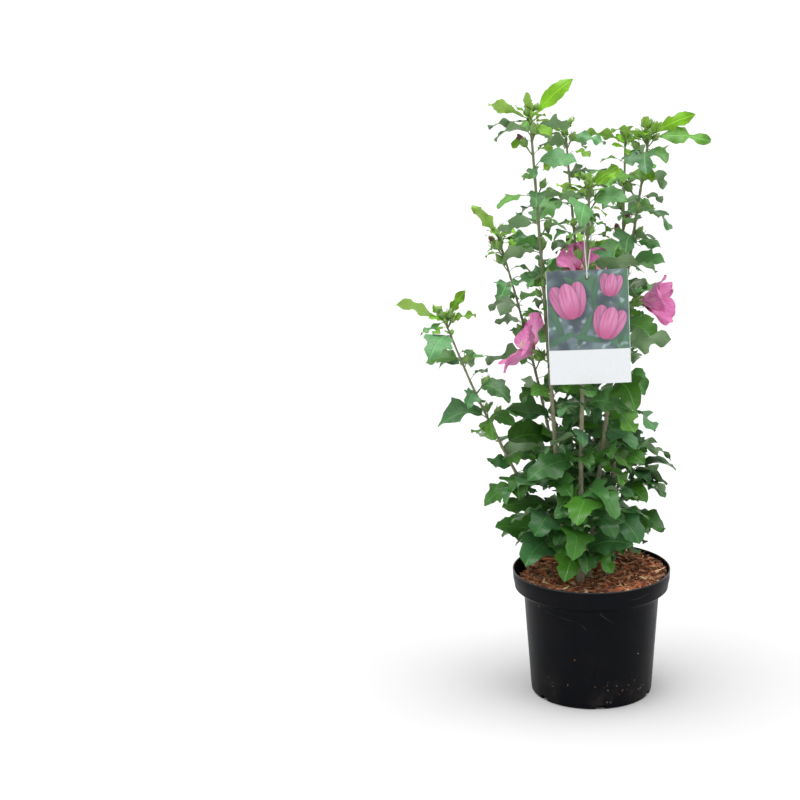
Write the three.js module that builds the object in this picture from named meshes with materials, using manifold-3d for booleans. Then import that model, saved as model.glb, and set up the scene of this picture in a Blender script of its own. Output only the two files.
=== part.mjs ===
// A rose of Sharon shrub, a garden hibiscus, in its black nursery pot with a picture label hung on a stem.
// Millimetres, +Z up. The origin is the middle of the pot's flat underside. +X is the right of the
// shrub as its label faces the viewer, and +Y points away from the viewer.
import * as THREE from "three";
import { mergeVertices } from "three/addons/utils/BufferGeometryUtils.js";
import Module from "manifold-3d";

const wasm = await Module();
wasm.setup();

// The gap that neighbouring solids keep.
const CLEAR = 0.3;
const DEGREE = Math.PI / 180;

// The pot: a tapered wall under a tall rim band.
const POT_HEIGHT = 184;
const POT_BASE_RADIUS = 87;
const POT_NECK_RADIUS = 97;
const POT_RIM_RADIUS = 113;
const RIM_BAND_HEIGHT = 26.5;
const RIM_UNDERCUT = 8.5;
const RIM_TAPER = 3;
const BASE_CHAMFER = 3;
const POT_WALL = 2;
const POT_FLOOR = 4;
const POT_SEGMENTS = 36;
const DRAIN_NOTCHES = 6;
const NOTCH = { width: 14, depth: 8, height: 6, firstAngle: 39 * DEGREE };

// The potting mix under its bark mulch. It is heaped a little towards the wall, and lies lower along it at
// the left.
const GROUND = 168;
const MULCH_EDGE = 180;
const MULCH_FLAT_RADIUS = 55;
const MULCH_DIP = { depth: 19, angle: 165 * DEGREE };

// The stems all rise from one crown. Each entry gives where a stem leaves the mulch, where it ends, how
// far its middle bows from the straight line between them, its radius near the foot, the share of its
// length that is a bare bough, the seeds of its crown and of its side sprays, the headings of those sprays
// on the bough, and the leaves at its growing tip as [heading, rise, length, roll], in degrees and
// millimetres.
const STEMS = [
  { name: "far_left", foot: [-20, 8], tip: [-204, -30, 556], bow: [-12, 0], radius: 2.9, bare: 0.34,
    seed: 373, spraySeed: 109, sprays: [168],
    tips: [[180, 30, 76, 58], [14, 62, 52, 70], [0, 20, 44, 30], [205, -12, 42, -20]] },
  { name: "left", foot: [-25, 26], tip: [-133, 70, 658], bow: [10, 0], radius: 2.9, bare: 0.32,
    seed: 36, spraySeed: 377, sprays: [140, 112],
    tips: [[190, 62, 62, 74], [300, 26, 48, 10], [350, 4, 62, 34]] },
  { name: "tall_left", foot: [-38, -12], tip: [-82, -50, 838], bow: [2, -4], radius: 3.8, bare: 0.26,
    seed: 21, spraySeed: 214, sprays: [178, 226, 202],
    tips: [[10, 52, 80, 66], [190, 34, 62, 62], [250, 74, 44, 20], [182, 4, 58, 24]] },
  { name: "tall_centre", foot: [30, 32], tip: [-36, 60, 807], bow: [-4, 6], radius: 3.4, bare: 0.28,
    seed: 254, spraySeed: 182, sprays: [46, 20, 68],
    tips: [[160, 34, 48, 50], [0, 0, 58, 40], [320, 70, 30, 30], [190, 10, 48, 20]] },
  { name: "front", foot: [-15, -26], tip: [-2, -85, 748], bow: [-3, 0], radius: 3.9, bare: 0.28,
    seed: 258, spraySeed: 360, sprays: [268, 244, 290],
    tips: [[330, 48, 56, 52], [200, 22, 48, 26], [20, 36, 52, 70], [270, 60, 34, 8]] },
  { name: "right_back", foot: [23, 8], tip: [48, 105, 789], bow: [4, 6], radius: 3.3, bare: 0.28,
    seed: 251, spraySeed: 200, sprays: [2, 342, 24],
    tips: [[178, 26, 58, 46], [290, 58, 36, 14], [80, 30, 52, 30]] },
  { name: "tall_right", foot: [-6, 0], tip: [79, -20, 810], bow: [-5, -6], radius: 3.6, bare: 0.3,
    seed: 286, spraySeed: 183, sprays: [318, 338],
    tips: [[6, 36, 70, 72], [356, 8, 84, 40], [170, 22, 54, 40], [260, 62, 40, 10]] },
  { name: "back", foot: [4, 38], tip: [-12, 150, 620], bow: [0, 8], radius: 3.0, bare: 0.34,
    seed: 241, spraySeed: 281, sprays: [88, 112],
    tips: [[100, 40, 56, 20], [20, 30, 50, 50], [190, 34, 50, 50]] },
];
const STEM_TAPER = 0.62;
const TIP_RADIUS = 1.3;
const FOOT_FLARE = 0.55;
const FLARE_SHARE = 0.05;
const STEM_SIDES = 7;
const STEM_STEPS = 6;
const CROWN_SIDES = 5;
const CROWN_STEPS = 8;

// Leaves are set in a spiral up each stem. A node has one large leaf and up to two smaller ones, a turn
// to either side of it, and in the upper part some nodes have a bud.
const SPIRAL = 137.5 * DEGREE;
const NODE_SPACING = 40;
const AXIL_SHARES = [0.72, 0.36];
const AXIL_TURN = 75 * DEGREE;
const AXIL_SIZE = 0.76;
const AXIL_UP = 4;
const BUD_FROM = 0.4;
const BUD_SHARE = 0.5;

// The sizes and angles of leaves, and how widely they vary. A blade leaves its stalk at half the
// stalk's rise and bends down from there. One that would run into something turns away up to TRIES times.
const LEAF_LENGTH = 60;
const PETIOLE = 14;
const LOW_LEAF_LENGTH = 60;
const LOW_PETIOLE = 16;
const SIZE_SPREAD = 0.34;
const RISE = 34 * DEGREE;
const RISE_SPREAD = 40 * DEGREE;
const DROOP = 34 * DEGREE;
const DROOP_SPREAD = 50 * DEGREE;
const TURN_SPREAD = 46 * DEGREE;
const ROLL_SPREAD = 96 * DEGREE;
const TRIES = 5;
const TURN_AWAY = 67 * DEGREE;
const STEM_ROOM = 0.2;
const LEAF_ROOM = 21;
const GROUND_ROOM = 8;
const OVER_POT_RADIUS = 85;

// A side spray is a short twig with a leaf at each joint and one at its end.
const SPRAY_LENGTH = 27;
const SPRAY_JOINTS = 3;
const SPRAY_FAN = 46 * DEGREE;
const SPRAY_FEWEST = 2;
const TWIG_RADIUS = 1.2;
const SPRAY_LOWEST = 0.05;
const SPRAY_RISE = 20 * DEGREE;

// The shape of a blade: half widths at shares of its length, one side, as parts of the length. A leaf
// has a side lobe at its middle and a notch before its tip. A petal widens to a round end.
const LEAF = { outline: [[0.46, 0.37], [0.66, 0.21]], thick: 0.024, fold: 0.06, stalk: 0.95 };
const PETAL = { outline: [[0.34, 0.2], [0.74, 0.4], [0.95, 0.27]], thick: 0.024, fold: 0.05, stalk: 1.6 };

// Open and half closed flowers: the stem, the height, the heading and rise of the flower's axis, how far
// it is open from 0 to 1, the petals' length, and the heading of the side that it shows on.
const FLOWERS = [
  { stem: "tall_right", height: 574, heading: -14, rise: 6, open: 0.42, petal: 50, side: 270 },
  { stem: "tall_left", height: 492, heading: 184, rise: 36, open: 0.8, petal: 54, side: 270 },
  { stem: "tall_centre", height: 576, heading: 284, rise: 60, open: 0.5, petal: 50, side: 270 },
  { stem: "back", height: 520, heading: 84, rise: 34, open: 0.9, petal: 50, side: 90 },
];
const PETALS = 5;
const FLOWER_STALK = 12;
const CALYX = { radius: 7, length: 15 };
const COLUMN = { radius: 1.8, length: 30 };

// No leaf's middle or tip lies this near the axis of a flower, for this far in front of it, or this near
// a line from the flower's middle to the side that it shows on.
const FLOWER_ROOM = 36;
const FLOWER_VIEW = 160;
const FLOWER_MIDDLE = 26;
const SIGHT_RISE = 10 * DEGREE;

// A bud on its stalk.
const BUD = { stalk: 14, stalkRadius: 0.9, radius: 5, length: 17 };
const BUD_SIDES = 4;
const BUD_RISE = 60 * DEGREE;

// The growing tip's own leaves stand up on short stalks, with a few buds among them.
const TIP_BUDS = 3;
const TIP_DROOP = 24 * DEGREE;
const TIP_STALK = 0.16;
const TIP_WIDE = 0.6;
const TIP_BUD_SIZE = 0.75;

// The label: a card hung by a loop of tie on the front stem.
const CARD = { width: 110, height: 157, thick: 0.8, holeRadius: 2.6, holeDrop: 11, tilt: 2 * DEGREE };
const CARD_HOLE_SEGMENTS = 10;
const TIE = { radius: 0.8, height: 76, halfWidth: 7, halfDepth: 7, steps: 20, sides: 4 };
const CARD_TOP_HEIGHT = 632;
const CARD_CENTRE = -6;
const CARD_FORWARD = 12;
const CARD_BACK = 2;

const UP = new THREE.Vector3(0, 0, 1);

const finish = (color, roughness) => new THREE.MeshStandardMaterial({ color, roughness, metalness: 0 });
const POT_PLASTIC = finish(0x1b1c1f, 0.42);
const MULCH = finish(0x7a4a33, 0.95);
const BARK = finish(0x8a7a63, 0.85);
const LEAF_GREEN = finish(0x3f7a3c, 0.55);
const CARD_WHITE = finish(0xe9eef2, 0.4);
const TIE_WHITE = finish(0xf2f2ee, 0.5);

// A stream of numbers from 0 to 1 that a seed fixes: state = state * 1664525 + 1013904223, modulo 2 to
// the 32.
function dice(seed) {
  let state = Math.imul(seed, 2654435761) >>> 0;
  return () => {
    state = (Math.imul(state, 1664525) + 1013904223) >>> 0;
    return state / 4294967296;
  };
}

// Corners closer than MERGE are one corner.
const MERGE = 1e-3;
const JOIN_TOLERANCE = 0.05;

// A closed geometry as a solid, with its shared corners merged and its flat slivers left out.
function solid(geometry) {
  const bare = geometry.clone();
  bare.deleteAttribute("normal");
  bare.deleteAttribute("uv");
  const merged = mergeVertices(bare, MERGE);
  const corners = [];
  for (let i = 0; i < merged.index.count; i += 3) {
    const [a, b, c] = [0, 1, 2].map((k) => merged.index.getX(i + k));
    if (a !== b && b !== c && c !== a) corners.push(a, b, c);
  }
  return new wasm.Manifold(
    new wasm.Mesh({
      numProp: 3,
      vertProperties: merged.attributes.position.array,
      triVerts: new Uint32Array(corners),
    }),
  );
}

function geometryOf(shape) {
  const made = shape.getMesh();
  const geometry = new THREE.BufferGeometry();
  geometry.setAttribute("position", new THREE.BufferAttribute(made.vertProperties, 3));
  geometry.setIndex(new THREE.BufferAttribute(made.triVerts, 1));
  return geometry;
}

// Several solids as one, without sealed hollows or loose scraps: the largest outer shell of their union.
// Edges shorter than JOIN_TOLERANCE close up. Merging the corners can pinch off another hollow, so the
// largest shell is taken again after it.
function fused(solids) {
  const largest = (shape) => shape.decompose().sort((a, b) => b.volume() - a.volume())[0];
  const joined = largest(wasm.Manifold.union(solids).simplify(JOIN_TOLERANCE));
  return largest(solid(geometryOf(joined)));
}

function named(name, shape, material) {
  const geometry = geometryOf(shape);
  geometry.computeVertexNormals();
  const mesh = new THREE.Mesh(geometry, material);
  mesh.name = name;
  return mesh;
}

// Points and triangles as a geometry.
function closed(points, triangles) {
  const geometry = new THREE.BufferGeometry();
  const places = new Float32Array(points.flatMap((p) => p.toArray()));
  geometry.setAttribute("position", new THREE.BufferAttribute(places, 3));
  geometry.setIndex(triangles.flat());
  return geometry;
}

// The unit vector at a heading round Z and a rise above level.
const pointing = (heading, rise) =>
  new THREE.Vector3(Math.cos(heading) * Math.cos(rise), Math.sin(heading) * Math.cos(rise), Math.sin(rise));

// Where a stem's axis is at share t of its length: a straight line with a parabola's bow.
function route(stem, t) {
  const bulge = 4 * t * (1 - t);
  return new THREE.Vector3(
    stem.foot[0] + (stem.tip[0] - stem.foot[0]) * t + stem.bow[0] * bulge,
    stem.foot[1] + (stem.tip[1] - stem.foot[1]) * t + stem.bow[1] * bulge,
    GROUND + CLEAR + (stem.tip[2] - GROUND - CLEAR) * t,
  );
}

function heading(stem, t) {
  const step = 0.01;
  return route(stem, Math.min(1, t + step)).sub(route(stem, Math.max(0, t - step))).normalize();
}

// A stem's radius: an even taper to the tip, with a flare at the foot.
function girth(stem, t) {
  const taper = stem.radius * (1 - STEM_TAPER * t);
  const flare = 1 + FOOT_FLARE * Math.exp(-t / FLARE_SHARE);
  return Math.max(TIP_RADIUS, taper) * flare;
}

// A limb from share t0 to t1 of a stem: a many-sided tube whose rings are square to the axis, and the
// lowest one level, where it stands on the ground. spare thickens it.
function limb(stem, t0, t1, sides, steps, spare = 0) {
  const geometry = new THREE.CylinderGeometry(1, 1, 1, sides, steps);
  const place = geometry.attributes.position;
  for (let i = 0; i < place.count; i++) {
    const t = t0 + (t1 - t0) * (place.getY(i) + 0.5);
    const along = t === 0 ? UP : heading(stem, t);
    const across = new THREE.Vector3(1, 0, 0).addScaledVector(along, -along.x).normalize();
    const beside = across.clone().cross(along);
    const p = route(stem, t)
      .addScaledVector(across, place.getX(i) * (girth(stem, t) + spare))
      .addScaledVector(beside, place.getZ(i) * (girth(stem, t) + spare));
    place.setXYZ(i, p.x, p.y, p.z);
  }
  return solid(geometry);
}

// A straight twig of three sides from one point to another.
function twig(from, to, radius) {
  const geometry = new THREE.CylinderGeometry(radius * 0.8, radius, from.distanceTo(to), 3, 1);
  geometry.applyQuaternion(
    new THREE.Quaternion().setFromUnitVectors(new THREE.Vector3(0, 1, 0), to.clone().sub(from).normalize()),
  );
  const middle = from.clone().add(to).multiplyScalar(0.5);
  return solid(geometry.translate(middle.x, middle.y, middle.z));
}

// The way a leaf's stalk runs, and where its blade's centre line is at share s of its length. The slope
// turns evenly from level to fall, so the line is an arc.
function centreLine(leaf) {
  const { root, up, ahead, level, fall, length } = leaf;
  const along = ahead.clone().multiplyScalar(Math.cos(leaf.rise)).addScaledVector(up, Math.sin(leaf.rise));
  const base = root.clone().addScaledVector(along, leaf.stalk);
  const bend = fall - level;
  const slope = (s) => level + bend * s;
  const at = (s) =>
    base
      .clone()
      .addScaledVector(ahead, (length * (Math.sin(slope(s)) - Math.sin(level))) / bend)
      .addScaledVector(up, (length * (Math.cos(level) - Math.cos(slope(s)))) / bend);
  return { along, base, slope, at };
}

// A leaf or a petal on its stalk. The blade is folded up along its midrib, thickest at its middle, and
// rolled about its centre line. spare widens it all round, to test what lies near it.
function blade(leaf, shape, spare = 0) {
  const { along, base, slope, at } = centreLine(leaf);
  const side = leaf.up.clone().cross(leaf.ahead);
  const below = side.clone().cross(along);
  const point = (s, sideways, lift) => {
    const [steep, even] = [Math.sin(slope(s)), Math.cos(slope(s))];
    const [tilt, upright] = [Math.sin(leaf.roll), Math.cos(leaf.roll)];
    const flat = leaf.ahead.clone().multiplyScalar(-steep).addScaledVector(leaf.up, even);
    const across = side.clone().multiplyScalar(upright).addScaledVector(flat, tilt);
    const out = flat.clone().multiplyScalar(upright).addScaledVector(side, -tilt);
    return at(s).addScaledVector(across, sideways).addScaledVector(out, lift);
  };
  const radius = shape.stalk + spare;
  const ring = (p) => [
    p.clone().addScaledVector(side, radius),
    p.clone().addScaledVector(side, -radius),
    p.clone().addScaledVector(below, radius),
  ];
  const halfThick = (shape.thick * leaf.length) / 2 + spare;
  const fold = shape.fold * leaf.length;
  const edge = shape.outline.map(([s, w]) => [s, w * leaf.wide * leaf.length + spare, fold]);
  const points = [
    ...ring(leaf.root),
    ...ring(base),
    ...edge.map(([s, w, lift]) => point(s, -w, lift)),
    point(1 + spare / leaf.length, 0, 0),
    ...edge.toReversed().map(([s, w, lift]) => point(s, w, lift)),
    point(0.5, 0, halfThick),
    point(0.5, 0, -halfThick),
  ];
  const [rootL, rootR, rootB, baseL, baseR, baseB] = [0, 1, 2, 3, 4, 5];
  const rim = [baseR, ...Array.from({ length: 2 * edge.length + 1 }, (_, k) => 6 + k), baseL];
  const top = points.length - 2;
  const bottom = points.length - 1;
  const triangles = [
    [rootL, rootR, baseR], [rootL, baseR, baseL], [rootR, rootB, baseB], [rootR, baseB, baseR],
    [rootL, baseL, baseB], [rootL, baseB, rootB], [rootR, rootL, rootB],
    [top, baseL, baseR], [bottom, baseR, baseB], [bottom, baseB, baseL],
  ];
  for (let k = 0; k + 1 < rim.length; k++) {
    triangles.push([top, rim[k], rim[k + 1]], [bottom, rim[k + 1], rim[k]]);
  }
  return solid(closed(points, triangles));
}

// How far point q is from the segment a to b, seen from above.
function planDistance(q, a, b) {
  const [dx, dy] = [b.x - a.x, b.y - a.y];
  const share = ((q.x - a.x) * dx + (q.y - a.y) * dy) / (dx * dx + dy * dy + 1e-9);
  const clamped = Math.min(1, Math.max(0, share));
  return Math.hypot(q.x - a.x - dx * clamped, q.y - a.y - dy * clamped);
}

// The middles of the leaves that have been drawn.
const middles = [];

// Whether a leaf would run into another leaf or stem, the ground, the pot or the label, or would hide a
// flower. Another leaf is in the way if its middle is near this one's. Another stem is in the way if it is
// near the line from the leaf's root to its tip, seen from above at the height of the leaf's middle.
function blocked(leaf, own) {
  const { at } = centreLine(leaf);
  const [middle, tip] = [at(0.5), at(1)];
  if (middles.some((other) => other.distanceTo(middle) < LEAF_ROOM)) return true;
  for (const stem of STEMS) {
    const t = shareAtHeight(stem, middle.z);
    const near = stem !== own && t < 1 && planDistance(route(stem, Math.max(0, t)), leaf.root, tip);
    if (near !== false && near < STEM_ROOM * leaf.length) return true;
  }
  return [middle, tip].some((p) => {
    const floor = Math.hypot(p.x, p.y) > OVER_POT_RADIUS ? POT_HEIGHT : GROUND;
    const beside = Math.abs(p.x - CARD_CENTRE) > CARD.width / 2 + GROUND_ROOM;
    const past = p.z > CARD_TOP_HEIGHT + GROUND_ROOM || p.z < CARD_TOP_HEIGHT - CARD.height - GROUND_ROOM;
    const atCard = !(beside || past || p.y > cardPlane + CARD_BACK);
    return p.z < floor + GROUND_ROOM || atCard || blooms.some((bloom) => hides(p, bloom));
  });
}

// Whether a point is near a line that runs in a direction for the length of FLOWER_VIEW.
function nearLine(p, from, direction) {
  const away = p.clone().sub(from);
  const along = away.dot(direction);
  return along > 0 && along < FLOWER_VIEW && away.addScaledVector(direction, -along).length() < FLOWER_ROOM;
}

// Whether a point lies in front of a flower, near its axis or near the line that it is seen along.
function hides(p, { spec, cup, axis }) {
  const middle = cup.clone().addScaledVector(axis, FLOWER_MIDDLE);
  return nearLine(p, cup, axis) || nearLine(p, middle, pointing(spec.side * DEGREE, SIGHT_RISE));
}

// A leaf drawn at a point of a stem, or null where chance is against it or there is no room for one. Six
// numbers are drawn for each.
function drawLeaf(roll, own, root, turn, length, stalk, chance = 1) {
  const [a, b, c, d, e, f] = [roll(), roll(), roll(), roll(), roll(), roll()];
  if (f >= chance) return null;
  const rise = RISE + (b - 0.5) * RISE_SPREAD;
  for (let attempt = 0; attempt <= TRIES; attempt++) {
    const leaf = {
      root,
      up: UP,
      ahead: pointing(turn + (a - 0.5) * TURN_SPREAD + attempt * TURN_AWAY, 0),
      rise,
      level: rise / 2,
      fall: rise / 2 - DROOP - c * DROOP_SPREAD,
      length: length * (1 + (d - 0.5) * SIZE_SPREAD),
      stalk,
      wide: 1,
      roll: (e - 0.5) * ROLL_SPREAD,
    };
    if (blocked(leaf, own)) continue;
    middles.push(centreLine(leaf).at(0.5));
    return leaf;
  }
  return null;
}

// A bud on its stalk: a turned shape, laid along its direction.
function bud(root, direction, size) {
  const tall = BUD.stalk * size;
  const profile = [
    [0, 0],
    [BUD.stalkRadius, 0],
    [BUD.stalkRadius, tall],
    [BUD.radius * size, tall + BUD.length * size * 0.4],
    [0, tall + BUD.length * size],
  ].map(([r, h]) => new THREE.Vector2(r, h));
  const geometry = new THREE.LatheGeometry(profile, BUD_SIDES);
  geometry.applyQuaternion(new THREE.Quaternion().setFromUnitVectors(new THREE.Vector3(0, 1, 0), direction));
  return solid(geometry.translate(root.x, root.y, root.z));
}

// A flower: its stalk and calyx, the column in its middle, and its petals round it. A closed one's petals
// stand along its axis, and an open one's lie back almost square to it.
function flower({ spec, root, axis, cup }) {
  const turned = new THREE.Quaternion().setFromUnitVectors(new THREE.Vector3(0, 1, 0), axis);
  const turnedSolid = (profile, sides, at) => {
    const geometry = new THREE.LatheGeometry(profile.map(([r, h]) => new THREE.Vector2(r, h)), sides);
    geometry.applyQuaternion(turned);
    return solid(geometry.translate(at.x, at.y, at.z));
  };
  const pieces = [
    turnedSolid([[0, 0], [1.2, 0], [1.2, FLOWER_STALK], [CALYX.radius, FLOWER_STALK + CALYX.length * 0.5],
      [CALYX.radius * 0.9, FLOWER_STALK + CALYX.length], [0, FLOWER_STALK + CALYX.length]], 6, root),
    turnedSolid([[0, 0], [COLUMN.radius, 0], [COLUMN.radius * 1.5, COLUMN.length * 0.8], [0, COLUMN.length]],
      5, cup.clone().addScaledVector(axis, CALYX.length * 0.5)),
  ];
  const across = new THREE.Vector3(-Math.sin(spec.heading * DEGREE), Math.cos(spec.heading * DEGREE), 0);
  const over = axis.clone().cross(across);
  for (let k = 0; k < PETALS; k++) {
    const angle = (k * 2 * Math.PI) / PETALS;
    const open = spec.open;
    pieces.push(
      blade(
        {
          root: cup.clone().addScaledVector(axis, CALYX.length * 0.45),
          up: axis,
          ahead: across.clone().multiplyScalar(Math.sin(angle)).addScaledVector(over, Math.cos(angle)),
          rise: (86 - 22 * open) * DEGREE,
          level: (80 - 42 * open) * DEGREE,
          fall: (62 - 70 * open) * DEGREE,
          length: spec.petal,
          stalk: 9,
          wide: 1 - 0.12 * (1 - open),
          roll: 0.2,
        },
        PETAL,
      ),
    );
  }
  return pieces;
}

// The pot: a turned shell with drain notches cut round its foot.
function pot() {
  const bandFoot = POT_HEIGHT - RIM_BAND_HEIGHT;
  const neck = bandFoot - RIM_UNDERCUT;
  const profile = [
    [0, 0],
    [POT_BASE_RADIUS - BASE_CHAMFER, 0],
    [POT_BASE_RADIUS, BASE_CHAMFER],
    [POT_NECK_RADIUS, neck],
    [POT_RIM_RADIUS - RIM_TAPER, bandFoot],
    [POT_RIM_RADIUS, POT_HEIGHT],
    [POT_RIM_RADIUS - POT_WALL, POT_HEIGHT],
    [POT_RIM_RADIUS - RIM_TAPER - POT_WALL, bandFoot + POT_WALL],
    [POT_NECK_RADIUS - POT_WALL, neck + POT_WALL / 2],
    [POT_BASE_RADIUS - POT_WALL, POT_FLOOR],
    [0, POT_FLOOR],
  ].map(([r, z]) => new THREE.Vector2(r, z));
  const shell = new THREE.LatheGeometry(profile, POT_SEGMENTS).rotateX(Math.PI / 2);
  let shape = solid(shell);
  for (let k = 0; k < DRAIN_NOTCHES; k++) {
    const cut = new THREE.BoxGeometry(2 * NOTCH.depth, NOTCH.width, 2 * NOTCH.height);
    cut.translate(POT_BASE_RADIUS, 0, 0).rotateZ(NOTCH.firstAngle + (k * 2 * Math.PI) / DRAIN_NOTCHES);
    shape = shape.subtract(solid(cut));
  }
  return named("pot", shape, POT_PLASTIC);
}

// The potting mix fills the pot with a gap at its wall. Its top is flat round the stems and rises to its
// edge.
function pottingMix() {
  const gap = POT_WALL + CLEAR;
  const bandFoot = POT_HEIGHT - RIM_BAND_HEIGHT;
  const neck = bandFoot - RIM_UNDERCUT;
  const bandInside = bandFoot + POT_WALL;
  const wallAt = (z) => POT_RIM_RADIUS - gap - (RIM_TAPER * (POT_HEIGHT - z)) / (POT_HEIGHT - bandInside);
  const profile = [
    [0, POT_FLOOR + CLEAR],
    [POT_BASE_RADIUS - gap - CLEAR, POT_FLOOR + CLEAR],
    [POT_NECK_RADIUS - gap, neck + POT_WALL / 2 + CLEAR],
    [wallAt(bandInside + CLEAR), bandInside + CLEAR],
    [wallAt(MULCH_EDGE), MULCH_EDGE],
    [(MULCH_FLAT_RADIUS + POT_RIM_RADIUS) / 2, (GROUND + MULCH_EDGE) / 2],
    [MULCH_FLAT_RADIUS, GROUND],
    [0, GROUND],
  ].map(([r, z]) => new THREE.Vector2(r, z));
  const geometry = new THREE.LatheGeometry(profile, POT_SEGMENTS).rotateX(Math.PI / 2);
  const place = geometry.attributes.position;
  for (let i = 0; i < place.count; i++) {
    const [x, y, z] = [place.getX(i), place.getY(i), place.getZ(i)];
    const out = Math.hypot(x, y);
    if (z < GROUND - 1 || out <= MULCH_FLAT_RADIUS + 1) continue;
    const share = (out - MULCH_FLAT_RADIUS) / (POT_RIM_RADIUS - MULCH_FLAT_RADIUS);
    const facing = Math.max(0, Math.cos(Math.atan2(y, x) - MULCH_DIP.angle));
    const dip = facing ** 4 * MULCH_DIP.depth * share;
    const level = Math.max(z - dip, bandInside + 1);
    const inward = Math.min(1, wallAt(level) / out);
    place.setXYZ(i, x * inward, y * inward, level);
  }
  return named("potting_mix", solid(geometry), MULCH);
}

// Where the label's tie goes round the front stem, and the card's corner frame below it.
const labelStem = STEMS.find((stem) => stem.name === "front");
const shareAtHeight = (stem, z) => (z - GROUND - CLEAR) / (stem.tip[2] - GROUND - CLEAR);
const cardPlane = route(labelStem, shareAtHeight(labelStem, CARD_TOP_HEIGHT)).y - CARD_FORWARD;

// Each flower's place on its stem, its axis and the foot of its calyx.
const blooms = FLOWERS.map((spec) => {
  const stem = STEMS.find((s) => s.name === spec.stem);
  const root = route(stem, shareAtHeight(stem, spec.height));
  const axis = pointing(spec.heading * DEGREE, spec.rise * DEGREE);
  return { spec, root, axis, cup: root.clone().addScaledVector(axis, FLOWER_STALK) };
});

// The label card, with a punched hole for its tie. It hangs in a plane square to Y, a little turned in it.
function card() {
  const outline = new THREE.Shape();
  outline.moveTo(-CARD.width / 2, -CARD.height);
  outline.lineTo(CARD.width / 2, -CARD.height);
  outline.lineTo(CARD.width / 2, 0);
  outline.lineTo(-CARD.width / 2, 0);
  outline.closePath();
  const hole = new THREE.Path();
  hole.absarc(0, -CARD.holeDrop, CARD.holeRadius, 0, 2 * Math.PI, true);
  outline.holes.push(hole);
  const sheet = new THREE.ExtrudeGeometry(outline, {
    depth: CARD.thick, bevelEnabled: false, curveSegments: CARD_HOLE_SEGMENTS,
  });
  sheet.rotateZ(CARD.tilt).rotateX(Math.PI / 2);
  sheet.translate(CARD_CENTRE, cardPlane, CARD_TOP_HEIGHT);
  return solid(sheet);
}

// The tie's middle line: a closed loop that runs through the card's hole at its foot and round the back of
// the stem at its head.
class TieLoop extends THREE.Curve {
  constructor(low, high, behind) {
    super();
    Object.assign(this, { low, high, behind });
  }

  getPoint(t, target = new THREE.Vector3()) {
    const angle = 2 * Math.PI * t;
    const share = (1 - Math.cos(angle)) / 2;
    const sideways = TIE.halfWidth * Math.sin(angle) * share;
    const through = TIE.halfDepth * Math.sin(angle) * (1 - share);
    const wrap = this.behind * Math.max(0, -Math.cos(angle)) ** 3;
    return target.lerpVectors(this.low, this.high, share).add(new THREE.Vector3(sideways, through + wrap, 0));
  }
}

function tie() {
  const hole = new THREE.Vector3(0, 0, -CARD.holeDrop).applyAxisAngle(new THREE.Vector3(0, 1, 0), -CARD.tilt);
  const low = hole.add(new THREE.Vector3(CARD_CENTRE, cardPlane - CARD.thick / 2, CARD_TOP_HEIGHT));
  const t = shareAtHeight(labelStem, low.z + TIE.height);
  const loop = new TieLoop(low, route(labelStem, t), girth(labelStem, t) + TIE.radius + 2 * CLEAR);
  return solid(new THREE.TubeGeometry(loop, TIE.steps, TIE.radius, TIE.sides, true));
}

// Everything a leaf has to keep clear of: limbs, the label and the leaves of other masses.
const taken = [];

function claim(shape, owner) {
  taken.push({ shape, owner, box: shape.boundingBox() });
}

const apart = (a, b) => [0, 1, 2].some((k) => a.min[k] > b.max[k] || b.min[k] > a.max[k]);

// True if the shape would touch anything that another owner has claimed.
function meets(shape, owner) {
  const box = shape.boundingBox();
  const touches = (other) => !apart(box, other.box) && !other.shape.intersect(shape).isEmpty();
  return taken.some((other) => other.owner !== owner && touches(other));
}

const SPARE = 0.45;

// A mass: its stem and whatever of its leaves, buds and flowers keep clear of the rest, fused. Null if
// fewer than the fewest leaves are left.
function mass(name, core, leaves, others, fewest) {
  const kept = leaves.filter((leaf) => leaf && !meets(blade(leaf, LEAF, SPARE), name));
  if (kept.length < fewest) return null;
  const clear = others.filter((shape) => !meets(shape, name));
  const pieces = [core, ...kept.map((leaf) => blade(leaf, LEAF)), ...clear];
  for (const shape of pieces) claim(shape, name);
  return named(name, fused(pieces), LEAF_GREEN);
}

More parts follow.
